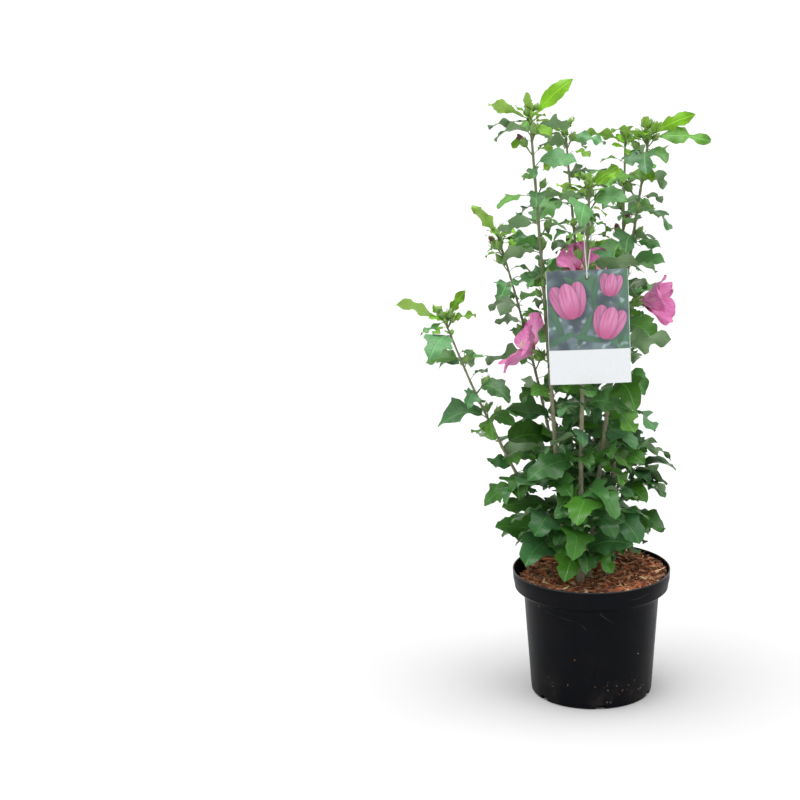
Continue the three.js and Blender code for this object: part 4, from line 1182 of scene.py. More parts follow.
class ShrubStemSettings(bpy.types.PropertyGroup):
    """The stems and twigs."""

    rings: IntProperty(name="Rings", description="Rings of points along a stem", default=150, min=20)
    sides: IntProperty(name="Sides", description="Points round a stem", default=16, min=6)
    old_bark: colour_setting("Old bark", "Bark near the foot", (0.4, 0.375, 0.25))
    young_bark: colour_setting("Young bark", "Bark near the tip", (0.2, 0.26, 0.115))
    bark_streak: colour_setting("Streaks", "Darker streaks in the bark", (0.2, 0.18, 0.11))
    petiole: colour_setting("Leaf stalks", "Leaf stalks and green twigs", (0.14, 0.2, 0.05))


class ShrubLeafSettings(bpy.types.PropertyGroup):
    """The leaves."""

    wave: FloatProperty(name="Wave", description="Height of the edge's waves, per length", default=0.07)
    ragged: FloatProperty(name="Ragged", description="How uneven the edge is", default=0.1)
    fold: FloatProperty(name="Fold", description="Most that the edges rise over the midrib", default=0.15)
    fold_low: FloatProperty(name="Dome", description="Least that they rise over it", default=-0.05)
    deep: colour_setting("Deep leaves", "The lowest leaves", (0.055, 0.175, 0.031))
    mid: colour_setting("Middle leaves", "The middle of the shrub", (0.1, 0.262, 0.066))
    high: colour_setting("High leaves", "The upper leaves", (0.108, 0.272, 0.062))
    young: colour_setting("Young leaves", "The growing tips", (0.18, 0.40, 0.012))
    under: colour_setting("Underside", "The leaves' paler underside", (0.215, 0.355, 0.165))
    young_under: colour_setting("Young underside", "The underside of young leaves", (0.3, 0.53, 0.08))


class ShrubFlowerSettings(bpy.types.PropertyGroup):
    """Flowers and buds."""

    petal: colour_setting("Petal", "The petals' outer part", (0.84, 0.23, 0.55))
    petal_pale: colour_setting("Pale pink", "The petals' middle", (0.95, 0.5, 0.77))
    petal_vein: colour_setting("Veins", "Deeper pink veins and rays", (0.58, 0.08, 0.28))
    petal_eye: colour_setting("Eye", "The crimson base of each petal", (0.3, 0.004, 0.02))
    column: colour_setting("Column", "The cream column and its anthers", (0.85, 0.78, 0.6))
    bud: colour_setting("Bud", "The buds' green", (0.19, 0.36, 0.08))
    bud_tip: colour_setting("Bud end", "The green at the buds' ends", (0.3, 0.48, 0.13))
    bud_petal: colour_setting("Bud petals", "Rolled petals at a bud's end", (0.13, 0.03, 0.045))


class ShrubLabelSettings(bpy.types.PropertyGroup):
    """The label and its tie."""

    bow: FloatProperty(name="Bow", description="How far the sides lie back", default=1.6 * MM, unit="LENGTH")
    ground: colour_setting("Ground", "The print's slate ground", (0.06, 0.09, 0.115))
    ground_light: colour_setting("Light ground", "The lighter parts of the ground", (0.2, 0.28, 0.3))
    leaf: colour_setting("Leaves", "The print's leaves", (0.09, 0.23, 0.125))
    bloom: colour_setting("Blooms", "The print's blooms", (0.86, 0.33, 0.6))
    bloom_foot: colour_setting("Bloom foot", "The print's deeper pink", (0.52, 0.06, 0.22))
    band: colour_setting("Band", "The bare band and the card's back", (0.91, 0.94, 0.96))
    tie: colour_setting("Tie", "The plastic tie", (0.85, 0.86, 0.84))


class ShrubStageSettings(bpy.types.PropertyGroup):
    """The camera, the light and the floor."""

    lens: FloatProperty(name="Lens", description="Focal length in millimetres", default=85.0)
    distance: FloatProperty(name="Distance", description="Camera to pot's axis", default=2.6, unit="LENGTH")
    height: FloatProperty(name="Height", description="Camera above the floor", default=1.069, unit="LENGTH")
    yaw: FloatProperty(name="Yaw", description="Turn to the left", default=5.95 * DEG, unit="ROTATION")
    pitch: FloatProperty(name="Pitch", description="Turn down", default=13.71 * DEG, unit="ROTATION")
    roll: FloatProperty(name="Roll", description="Turn about the view", default=-1.41 * DEG, unit="ROTATION")
    sky: FloatProperty(name="Sky", description="Strength of the even light", default=0.56)
    key: FloatProperty(name="Key", description="Strength of the soft sun at the left", default=2.1)
    fill: FloatProperty(name="Fill", description="Strength of the soft sun at the right", default=1.3)
    spread: FloatProperty(name="Spread", description="Width of each sun", default=45 * DEG, unit="ROTATION")
    floor: colour_setting("Floor", "The pale floor", (0.7, 0.7, 0.7))


# Pieces.


class SHRUB_OT_pot(bpy.types.Operator):
    """Make the pot with its rolled lip and drain notches"""

    bl_idname = "shrub.pot"
    bl_label = "Pot"

    def profiles(self, lip, wall):
        """Two profiles with the same number of points: a plain one, and one through the middle of a notch,
        which steps in at the foot. Both run from the middle of the underside, which is a little hollow, out
        and up the wall, under and up the rim's band, over the rolled lip and down the inside."""
        band_foot = POT_HEIGHT - BAND_HEIGHT
        neck = band_foot - RIM_UNDERCUT
        curl = np.linspace(0, math.pi, 9)
        foot_curve = np.linspace(-math.pi / 2, 0, 5)
        under = np.linspace(0, 1, 7)
        band_radius = RIM_RADIUS - RIM_TAPER
        inner_foot = BASE_RADIUS - NOTCH_DEPTH
        hollow = inner_foot - HOLLOW_INSET
        plain = [(0, HOLLOW), (hollow, HOLLOW), (hollow + HOLLOW_SLOPE, 0), (inner_foot, 0)]
        plain += [(inner_foot + 0.01, 0)]
        plain += [
            (BASE_RADIUS - FOOT_ROUND + FOOT_ROUND * math.cos(a), FOOT_ROUND + FOOT_ROUND * math.sin(a))
            for a in foot_curve
        ]
        plain += [(BASE_RADIUS + 0.4, NOTCH_HEIGHT), (BASE_RADIUS + 0.45, NOTCH_HEIGHT + 0.4)]
        notched = [*plain[:4], (inner_foot + 0.01, NOTCH_HEIGHT - 0.4)]
        notched += [(inner_foot + (NOTCH_DEPTH - 1) * k / 4, NOTCH_HEIGHT) for k in range(5)]
        notched += [(BASE_RADIUS - 0.2, NOTCH_HEIGHT + 0.1), plain[-1]]
        slope = (NECK_RADIUS - BASE_RADIUS) / neck
        rest = [(BASE_RADIUS + slope * z, z) for z in (14, 40, 70, 100, 125, neck - 6, neck - 2)]
        reach = band_radius - NECK_RADIUS - NECK_STEP
        rest += [(NECK_RADIUS + NECK_STEP + reach * u, neck + RIM_UNDERCUT * u**1.35) for u in under]
        rest += [(band_radius + 0.2, band_foot + 1.2), (band_radius + 0.4, band_foot + 5)]
        rest += [(RIM_RADIUS - 0.8, POT_HEIGHT - 14)]
        rest += [(RIM_RADIUS - lip + lip * math.cos(a), POT_HEIGHT - lip + lip * math.sin(a)) for a in curl]
        rest += [(RIM_RADIUS - wall - 0.5, POT_HEIGHT - 8), (band_radius - wall, band_foot + wall)]
        rest += [(NECK_RADIUS - wall, neck + wall / 2), (BASE_RADIUS - wall, FLOOR), (0, FLOOR)]
        return np.array(plain + rest), np.array(notched + rest)

    def execute(self, context):
        """The profiles carried round the axis. The notched one holds between the flanks of each notch."""
        settings = context.scene.shrub_pot
        plain, notched = self.profiles(settings.lip / MM, settings.wall / MM)
        pitch = TURN / NOTCHES
        half = NOTCH_WIDTH / 2 / BASE_RADIUS
        flank = NOTCH_FLANK / BASE_RADIUS
        marks = np.array([-half - flank, -half, half, half + flank])
        between = np.linspace(half + flank, pitch - half - flank, settings.columns)[1:-1]
        inside = np.linspace(-half, half, 5)[1:-1]
        one = np.sort(np.concatenate([marks, inside, between]))
        angle = np.concatenate([NOTCH_FIRST + k * pitch + one for k in range(NOTCHES)])
        mask = np.concatenate([(np.abs(one) <= half + 1e-6).astype(float)] * NOTCHES)
        profile = plain[:, None] * (1 - mask)[:, None] + notched[:, None] * mask[:, None]
        r, z = profile[..., 0], profile[..., 1]
        points = np.stack([r * np.cos(angle), r * np.sin(angle), z], -1)
        piece = Shape().grids(points[None], wrap=True).build("pot")
        close_poles(piece, crease=32 * DEG)
        dress(piece, pot_finish(settings), "pot_plastic", "pot")
        return {"FINISHED"}


def close_poles(piece, distance=1e-6, crease=50 * DEG):
    """Merges the points of a pole, drops the faces that this leaves without area, and sets sharp creases."""
    made = bmesh.new()
    made.from_mesh(piece.data)
    bmesh.ops.remove_doubles(made, verts=made.verts, dist=distance)
    bmesh.ops.recalc_face_normals(made, faces=made.faces)
    made.to_mesh(piece.data)
    made.free()
    piece.data.set_sharp_from_angle(angle=crease)


class SHRUB_OT_mulch(bpy.types.Operator):
    """Make the potting mix and the bark shreds that cover it"""

    bl_idname = "shrub.mulch"
    bl_label = "Mulch"

    def execute(self, context):
        settings = context.scene.shrub_mulch
        rng = np.random.default_rng(SEEDS["mulch"])
        self.ground(settings, rng)
        self.shreds(settings, rng)
        return {"FINISHED"}

    def ground(self, settings, rng):
        """A disc on a polar grid at the mulch's level, with waves of a few lengths, closed underneath."""
        out = np.concatenate([np.linspace(0, 1, 60), [1.0, 0.6, 0.0]])
        angle = np.linspace(0, TURN, 160, endpoint=False)
        radius = RIM_RADIUS - WALL - MIX_ROOM
        u, a = np.meshgrid(out, angle, indexing="ij")
        x, y = u * radius * np.cos(a), u * radius * np.sin(a)
        z = mulch_height(x, y) - MIX_UNDER
        for wave in MIX_WAVES:
            turn, phase = rng.uniform(0, TURN, 2)
            z += wave / 30 * np.sin((x * math.cos(turn) + y * math.sin(turn)) / wave * TURN + phase)
        z[-3:] = POT_HEIGHT - BAND_HEIGHT + MIX_FOOT
        piece = Shape().grids(np.stack([x, y, z], -1)[None], wrap=True).build("potting_mix")
        close_poles(piece)
        dress(piece, soil_finish(settings), "bark_mulch", "potting_mix")

    def shreds(self, settings, rng):
        """The shreds of each tone as one piece."""
        for tone, share in SHREDS.items():
            n = int(settings.shreds * share)
            points = self.bars(n, settings.longest / MM, rng)
            spread = np.linspace(0, 0.6, 4) + rng.uniform(0, 40, n)[:, None, None]
            uv = grid_uv(points, spread, np.linspace(0, 1, 4)[:, None])
            shape = Shape().grids(points, wrap=True, caps=True, uv=uv, value=rng.uniform(0, 1, n))
            piece = shape.build("bark_shreds_" + tone, smooth=False)
            dress(piece, bark_chip_finish("bark_" + tone, getattr(settings, tone)), "bark_mulch")

    def bars(self, n, longest, rng):
        """Shreds as grids: four-sided bars that taper to both ends, bend a little and lie nearly flat."""
        radius = (RIM_RADIUS - WALL - SHRED_ROOM) * np.sqrt(rng.uniform(0, 1, n))
        angle = rng.uniform(0, TURN, n)
        length = SHORTEST_SHRED + (longest - SHORTEST_SHRED) * rng.beta(1.3, 3.2, n)
        width = np.minimum(length * 0.4, rng.uniform(*SHRED_WIDTHS, n))
        thick = width * rng.uniform(0.25, 0.6, n)
        heading = rng.uniform(0, TURN, n)
        radius = np.minimum(radius, RIM_RADIUS - WALL - SHRED_END_ROOM - length / 2)
        x, y = radius * np.cos(angle), radius * np.sin(angle)
        tilt = rng.normal(0, 0.14, n)
        lift = rng.uniform(*SHRED_LIFTS, n) + np.abs(np.sin(tilt)) * length / 3
        bend = rng.normal(0, 0.12, n)
        step = np.linspace(-0.5, 0.5, 4)
        run = length[:, None] * step
        bow = (bend * length)[:, None] * (0.25 - step**2) * 4
        cos, sin = np.cos(heading)[:, None], np.sin(heading)[:, None]
        px = x[:, None] + run * cos - bow * sin
        py = y[:, None] + run * sin + bow * cos
        pz = (mulch_height(x, y) + lift)[:, None] + run * np.sin(tilt)[:, None] - np.abs(bow) * 0.2
        taper = np.array([0.25, 1.0, 0.9, 0.3])
        corner = np.array([[1, 0.9], [-0.9, 1], [-1, -0.8], [0.9, -1]])
        corners = (corner * taper[:, None, None])[None]
        across = np.stack([-np.sin(heading), np.cos(heading), rng.normal(0, 0.25, n)], -1)[:, None, None]
        ring = across * corners[..., :1] * (width / 2)[:, None, None, None]
        ring = ring + UP * corners[..., 1:] * (thick / 2)[:, None, None, None]
        return np.stack([px, py, pz], -1)[:, :, None] + ring


class SHRUB_OT_stems(bpy.types.Operator):
    """Make the stems with their bark"""

    bl_idname = "shrub.stems"
    bl_label = "Stems and twigs"

    def execute(self, context):
        """Each stem is a tube along its axis. Its radius swells at each leaf joint, and it has ridges."""
        settings = context.scene.shrub_stems
        rng = np.random.default_rng(SEEDS["stems"])
        t = np.linspace(0, 1, settings.rings)
        angle = np.linspace(0, TURN, settings.sides, endpoint=False)
        shape = Shape()
        for stem in STEMS:
            height = stem["tip"][2] - GROUND
            joints = np.arange(FIRST_JOINT, height - LAST_JOINT, FINE_SPACING) / height
            joints = joints + rng.normal(0, 0.003, len(joints))
            nearest = np.abs(t[:, None] - joints).min(axis=1) * height
            swell = 1 + JOINT_SWELL * np.exp(-((nearest / JOINT_REACH) ** 2))
            kink = np.cumsum(rng.normal(0, 0.12, (len(t), 2)), axis=0)
            kink = kink - np.linspace(0, 1, len(t))[:, None] * kink[-1]
            path = route(stem, t)
            path[:, :2] += kink * WANDER
            path[0, 2] -= FOOT_SUNK
            radius = girth(stem, t) * swell
            radius[-3:] *= END_RINGS
            phases = rng.uniform(0, TURN, 3)
            ridges = sum(
                depth * np.sin(count * angle + phase + 2 * np.sin(3 * t[:, None] * (k + 1) + phase))
                for k, ((count, depth), phase) in enumerate(zip(RIDGES, phases))
            )
            points = tube(path[None], radius[None], settings.sides, (0, 1, 0), (1 + ridges)[None])
            uv = grid_uv(points, np.sin(angle) * 0.5 + rng.uniform(0, 30), (t * height / 40)[:, None])
            shape.grids(points, wrap=True, caps=True, uv=uv, value=t[None, :, None])
        dress(shape.build("stems"), bark_finish(settings), "stem_bark", *nodes_starting("stem_"))
        return {"FINISHED"}


class SHRUB_OT_leaves(bpy.types.Operator):
    """Grow the leaves, their stalks and the twigs"""

    bl_idname = "shrub.leaves"
    bl_label = "Leaves"

    def execute(self, context):
        settings = context.scene.shrub_leaves
        growth = grow()
        leaves = growth.leaves
        rng = np.random.default_rng(SEEDS["leaves"])
        outline = self.outlines(leaves, settings.ragged, rng)
        wave, fold = (settings.wave * 0.4, settings.wave * 1.6), (settings.fold_low, settings.fold)
        points, flat = blades(leaves, outline, LEAF_ACROSS, wave, fold, SEEDS["blades"])
        kept = fits(points)
        young = stacked(leaves, "young") > 0.5
        height = points[:, :, :, 2].mean(axis=(1, 2)) + rng.normal(0, HEIGHT_SPREAD, len(leaves))
        kinds = {
            "young": kept & young,
            "high": kept & ~young & (height > HIGH_FROM),
            "mid": kept & ~young & (height <= HIGH_FROM) & (height > MID_FROM),
            "deep": kept & ~young & (height <= MID_FROM),
        }
        crowns = nodes_starting("crown_", "spray_")
        finishes = {"young": (0.45, 0.35), "high": (0.42, 0.4), "mid": (0.38, 0.4), "deep": (0.36, 0.4)}
        for kind, chosen in kinds.items():
            roughness, vein = finishes[kind]
            shape = Shape().grids(points[chosen], uv=flat[chosen], value=rng.uniform(0, 1, chosen.sum()))
            under = settings.young_under if kind == "young" else settings.under
            finish = leaf_finish("leaf_" + kind, getattr(settings, kind), under, roughness, vein)
            dress(shape.build("leaves_" + kind), finish, "foliage", *crowns)
        stalks = Shape()
        self.petioles(stalks, [leaf for leaf, keep in zip(leaves, kept) if keep])
        self.twigs(stalks, np.array(growth.twigs))
        dress(stalks.build("leaf_stalks"), petiole_finish(context.scene.shrub_stems), "foliage")
        return {"FINISHED"}

    def outlines(self, leaves, ragged, rng):
        """Each leaf's outline: lobed, broader low down and narrower while young, with an uneven edge."""
        low = (BROAD_BELOW - stacked(leaves, "root")[:, 2]) / BROAD_OVER
        broad = np.clip(low + rng.uniform(-0.7, 0.4, len(leaves)), 0, 1)[:, None, None]
        young = stacked(leaves, "young") * 0.9
        narrow = np.clip(young + rng.uniform(-0.3, 0.3, len(leaves)), 0, 1)[:, None, None]
        outline = LOBED_LEAF * (1 - broad) + BROAD_LEAF * broad
        outline = outline * (1 - narrow) + LONG_LEAF * narrow
        outline[..., 2] *= 1 + ragged * rng.uniform(-1, 1, outline.shape[:2])
        return outline

    def petioles(self, shape, leaves):
        """Leaf stalks: tubes along a curve from inside the stem to inside the blade, thick at both ends."""
        root, ahead, up = stacked(leaves, "root"), stacked(leaves, "ahead"), stacked(leaves, "up")
        rise, level = stacked(leaves, "rise")[:, None], stacked(leaves, "level")[:, None]
        stalk, length = stacked(leaves, "stalk")[:, None], stacked(leaves, "length")[:, None]
        end = root + (ahead * np.cos(rise) + up * np.sin(rise)) * stalk
        inside = end + (ahead * np.cos(level) + up * np.sin(level)) * length * 0.06
        bulge = root + (ahead * np.cos(rise + 0.25) + up * np.sin(rise + 0.25)) * stalk * 0.55
        s = np.linspace(0, 1, 5)[None, :, None]
        paths = root[:, None] * (1 - s) ** 2 + 2 * bulge[:, None] * s * (1 - s) + end[:, None] * s**2
        paths = np.concatenate([paths, inside[:, None]], axis=1)
        size = np.clip(length / LEAF_LENGTH, 0.5, 1.1)
        radii = np.array(PETIOLE_RADII) * size
        shape.grids(tube(paths, radii, 5, np.cross(up, ahead)[:, None]), wrap=True, caps=True)

    def twigs(self, shape, ends):
        """Green twigs: straight tubes between two ends, a little thinner at the second."""
        step = np.linspace(0, 1, 4)[None, :, None]
        paths = ends[:, :1] * (1 - step) + ends[:, 1:] * step
        radii = np.broadcast_to(np.linspace(TWIG_RADIUS + 0.1, TWIG_RADIUS - 0.3, 4), paths.shape[:2])
        shape.grids(tube(paths, radii, 6, UP), wrap=True, caps=True)


def facing_frame(directions):
    """For unit vectors of the form count, 3: two more unit vectors square to each and to each other."""
    reference = np.where(np.abs(directions[:, 2:]) > 0.9, (1.0, 0.0, 0.0), UP)
    side = unit(np.cross(reference, directions))
    return side, np.cross(directions, side)


def turned(roots, directions, radii, heights, sides, ribs=0.0, spin=0.0):
    """Turned shapes: at each height along its direction a ring of its radius, with ribs as a cosine of the
    angle. radii and heights are of the form count, rows."""
    side, other = facing_frame(directions)
    angle = np.linspace(0, TURN, sides, endpoint=False)
    swirl = angle[None, None, :] + spin * np.linspace(0, 1, radii.shape[1])[None, :, None]
    r = radii[..., None] * (1 + ribs * np.cos(SEPALS * angle))[None, None, :]
    plane = side[:, None, None] * (r * np.cos(swirl))[..., None]
    plane = plane + other[:, None, None] * (r * np.sin(swirl))[..., None]
    rise = directions[:, None, None] * heights[..., None, None]
    return roots[:, None, None] + plane + rise


def lobes(roots, directions, starts, size, form, count, seed):
    """Thin pointed lobes in a ring, as sepals and bracts: each runs out and along the direction as a quarter
    wave, and is a strip whose width is a sine of the share along it. The form counts for a size of 1."""
    rng = np.random.default_rng(seed)
    long, wide, splay = form
    lengths, widths = long * size, wide * size
    side, other = facing_frame(directions)
    n = len(roots)
    base = rng.uniform(0, TURN, (n, 1)) + np.arange(count) * TURN / count + rng.normal(0, 0.1, (n, count))
    out = side[:, None] * np.cos(base)[..., None] + other[:, None] * np.sin(base)[..., None]
    tangent = np.cross(directions[:, None], out)
    s = np.linspace(0, 1, 6)
    bowed = splay * np.sin(s * math.pi * 0.62) * np.ones((1, count, 1))
    reach = starts[:, None, None] + lengths[:, None, None] * bowed
    rise = lengths[:, None, None] * s * (1 + 0.12 * rng.normal(0, 1, (n, count, 1)))
    middle = roots[:, None, None] + directions[:, None, None] * rise[..., None]
    middle = middle + out[:, :, None] * reach[..., None]
    half = widths[:, None, None] * np.sin(np.clip(0.18 + s * 0.82, 0, 1) * math.pi) ** 0.8
    v = np.array([-1.0, 0.0, 1.0])
    strip = middle[:, :, :, None] + tangent[:, :, None, None] * (half[..., None] * v)[..., None]
    strip = strip - out[:, :, None, None] * (0.12 * half[..., None] * np.abs(v))[..., None]
    uv = np.stack(np.broadcast_arrays(v * 0.5, s[:, None] * np.ones((n, count, 1, 1))), -1)
    return strip.reshape(n * count, len(s), 3, 3), uv.reshape(n * count, len(s), 3, 2)


class SHRUB_OT_buds(bpy.types.Operator):
    """Make the buds with their stalks, bracts and rolled petals"""

    bl_idname = "shrub.buds"
    bl_label = "Buds"

    def execute(self, context):
        settings = context.scene.shrub_flowers
        growth = grow()
        roots = np.array([bud[0] for bud in growth.buds])
        directions = unit(np.array([bud[1] for bud in growth.buds]))
        size = np.array([bud[2] for bud in growth.buds])
        rows = np.linspace(0, 1, 8)
        stalk = BUD_STALK * size[:, None]
        heights = stalk + BUD_LENGTH * size[:, None] * rows
        radii = BUD_RADIUS * size[:, None] * BUD_PROFILE
        shape = Shape()
        points = turned(roots, directions, radii, heights, 10, ribs=0.07, spin=0.5)
        uv = grid_uv(points, np.linspace(0, 1, 10, endpoint=False), rows[:, None])
        shape.grids(points, wrap=True, caps=True, uv=uv)
        tops = roots + directions * (stalk * 0.98)
        starts = radii[:, 0] * 0.8
        strips, strip_uv = lobes(tops, directions, starts, size, BUD_BRACT_FORM, BRACTS, SEEDS["bud_bracts"])
        shape.grids(strips, uv=strip_uv)
        stems = Shape()
        path = roots[:, None] + directions[:, None] * (stalk * np.linspace(-0.15, 1.03, 4))[..., None]
        path[:, 1:3, 2] -= BUD_STALK_SAG * size[:, None]
        stem_radii = np.array(BUD_STALK_RADII) * size[:, None]
        stems.grids(tube(path, stem_radii, 6, (0.3, 0.9, 0.1)), wrap=True, caps=True)
        dress(stems.build("bud_stalks"), petiole_finish(context.scene.shrub_stems), "foliage")
        finish = bud_finish("bud_green", settings.bud, settings.bud_tip)
        dress(shape.build("buds"), finish, "foliage")
        ripe = size > RIPE_FROM
        tip_radii = radii[ripe][:, 2:3] * ROLLED_PROFILE
        tip_heights = heights[ripe][:, 4:5] + size[ripe][:, None] * ROLLED_HEIGHTS
        tips = turned(roots[ripe], directions[ripe], tip_radii, tip_heights, 10, ribs=0.16, spin=1.9)
        tip_uv = grid_uv(tips, np.linspace(0, 1, 10, endpoint=False), np.linspace(0, 1, 5)[:, None])
        deep = settings.bud_petal
        finish = bud_finish("bud_petals", deep, tuple(c * 1.6 for c in deep), 0.45)
        dress(Shape().grids(tips, wrap=True, caps=True, uv=tip_uv).build("bud_tips"), finish, "foliage")
        return {"FINISHED"}


class SHRUB_OT_flowers(bpy.types.Operator):
    """Make the flowers: petals, columns with anthers, calyces and their bracts"""

    bl_idname = "shrub.flowers"
    bl_label = "Flowers"

    def execute(self, context):
        settings = context.scene.shrub_flowers
        petals = []
        roots, axes, cups = [], [], []
        for spec, root, axis, cup in blooms():
            heading = spec["heading"] * DEG
            slopes = [(shut - opens * spec["open"]) * DEG for shut, opens in zip(PETAL_SHUT, PETAL_OPENS)]
            across = np.array([-math.sin(heading), math.cos(heading), 0.0])
            over = np.cross(axis, across)
            roots.append(root)
            axes.append(axis)
            cups.append(cup)
            for k in range(PETALS):
                angle = k * TURN / PETALS
                petals.append({
                    "root": cup + axis * CALYX_LENGTH * 0.45, "up": axis,
                    "ahead": across * math.sin(angle) + over * math.cos(angle),
                    "rise": slopes[0], "level": slopes[1], "fall": slopes[2], "length": spec["petal"],
                    "stalk": PETAL_STALK, "wide": 1 - 0.12 * (1 - spec["open"]), "roll": PETAL_ROLL,
                })
        roots, axes, cups = np.array(roots), np.array(axes), np.array(cups)
        self.petals(settings, petals)
        self.columns(settings, cups, axes)
        self.calyces(settings, roots, axes)
        return {"FINISHED"}

    def petals(self, settings, petals):
        """Petals: blades whose half width is s to the 0.8 times the root of 1 less s to the fifth. The end is
        notched a little, and ruffles run across it."""
        rows = 1 - (1 - np.linspace(0, 1, 22)) ** 1.5
        across = np.linspace(1, -1, 15)
        half = 0.03 + 0.6 * rows**0.8 * np.sqrt(np.maximum(0, 1 - rows**5))
        outline = np.broadcast_to(np.stack([rows, rows * 0.97, half], -1), (len(petals), len(rows), 3))
        points, _ = blades(petals, outline, across, PETAL_WAVE, PETAL_FOLD, SEEDS["petals"])
        rng = np.random.default_rng(SEEDS["ruffles"])
        axis = stacked(petals, "up")[:, None, None]
        phase = rng.uniform(0, TURN, (len(petals), 1, 1))
        s, v = rows[None, :, None], across[None, None, :]
        ruffle = RUFFLES[0] * s**2 * np.sin(v * 8 + phase + 2 * s)
        ruffle = ruffle + RUFFLES[1] * s**2 * np.sin(v * 17 - phase)
        points = points + axis * ruffle[..., None]
        uv = np.stack(np.broadcast_arrays(v * half[None, :, None], s * np.ones((len(petals), 1, 1))), -1)
        dress(Shape().grids(points, uv=uv).build("petals"), petal_finish(settings), "foliage")

    def columns(self, settings, cups, axes):
        """Columns: a tapering rod, with small round anthers on short filaments over its upper part."""
        rng = np.random.default_rng(SEEDS["anthers"])
        n = len(cups)
        base = cups + axes * CALYX_LENGTH * 0.5
        rows = np.linspace(0, 1, 9)
        radii = np.broadcast_to(COLUMN_RADIUS * (1 - 0.45 * rows), (n, 9))
        heights = np.broadcast_to(COLUMN_LENGTH * rows, (n, 9))
        shape = Shape().grids(turned(base, axes, radii, heights, 8), wrap=True, caps=True)
        side, other = facing_frame(axes)
        angle = rng.uniform(0, TURN, (n, ANTHERS))
        out = side[:, None] * np.cos(angle)[..., None] + other[:, None] * np.sin(angle)[..., None]
        along = COLUMN_LENGTH * rng.uniform(0.42, 1.02, (n, ANTHERS))
        reach = rng.uniform(*ANTHER_REACHES, (n, ANTHERS))
        spots = base[:, None] + axes[:, None] * along[..., None] + out * reach[..., None]
        spots = spots.reshape(-1, 3)
        size = np.full((len(spots), 1), ANTHER_RADIUS)
        spot_axes = np.repeat(axes, ANTHERS, 0)
        balls = turned(spots, spot_axes, size * ANTHER_PROFILE, size * ANTHER_STEPS, 6)
        shape.grids(balls, wrap=True, caps=True)
        starts = (base[:, None] + axes[:, None] * (along - 1)[..., None] + out * 0.8).reshape(-1, 3)
        paths = np.stack([starts, (starts + spots) / 2 + spot_axes * 0.3, spots], axis=1)
        radii = np.full(paths.shape[:2], FILAMENT_RADIUS)
        shape.grids(tube(paths, radii, 3, (0.2, 0.3, 0.9)), wrap=True, caps=True)
        finish = mottled_finish("column_cream", settings.column, 300.0, 0.2, 0.6)
        dress(shape.build("flower_columns"), finish, "foliage")

    def calyces(self, settings, roots, axes):
        """Calyces: a cup on its stalk, five pointed sepals and a ring of thin bracts."""
        rows = np.linspace(0, 1, 8)
        n = len(roots)
        radii = np.broadcast_to(CALYX_RADIUS * CALYX_PROFILE, (n, 8))
        heights = FLOWER_STALK + CALYX_LENGTH * np.broadcast_to(rows, (n, 8)) * 0.8
        points = turned(roots, axes, radii, heights, 20, ribs=0.05)
        uv = grid_uv(points, np.linspace(0, 1, 20, endpoint=False), rows[:, None] * 0.5)
        shape = Shape().grids(points, wrap=True, caps=True, uv=uv)
        tops = roots + axes * (FLOWER_STALK + CALYX_LENGTH * 0.45)
        full = np.ones(n)
        starts = full * CALYX_RADIUS * 0.96
        strips, strip_uv = lobes(tops, axes, starts, full, SEPAL_FORM, SEPALS, SEEDS["sepals"])
        shape.grids(strips, uv=strip_uv)
        feet = roots + axes * FLOWER_STALK
        strips, strip_uv = lobes(feet, axes, full * 2.4, full, BRACT_FORM, BRACTS, SEEDS["flower_bracts"])
        shape.grids(strips, uv=strip_uv)
        path = roots[:, None] + axes[:, None] * (FLOWER_STALK * np.linspace(-0.1, 1.05, 5))[None, :, None]
        radii = np.broadcast_to(FLOWER_STALK_RADII, (n, 5))
        shape.grids(tube(path, radii, 8, (0.1, 0.2, 0.95)), wrap=True, caps=True)
        finish = bud_finish("calyx_green", settings.bud, settings.bud_tip)
        dress(shape.build("calyces"), finish, "foliage")


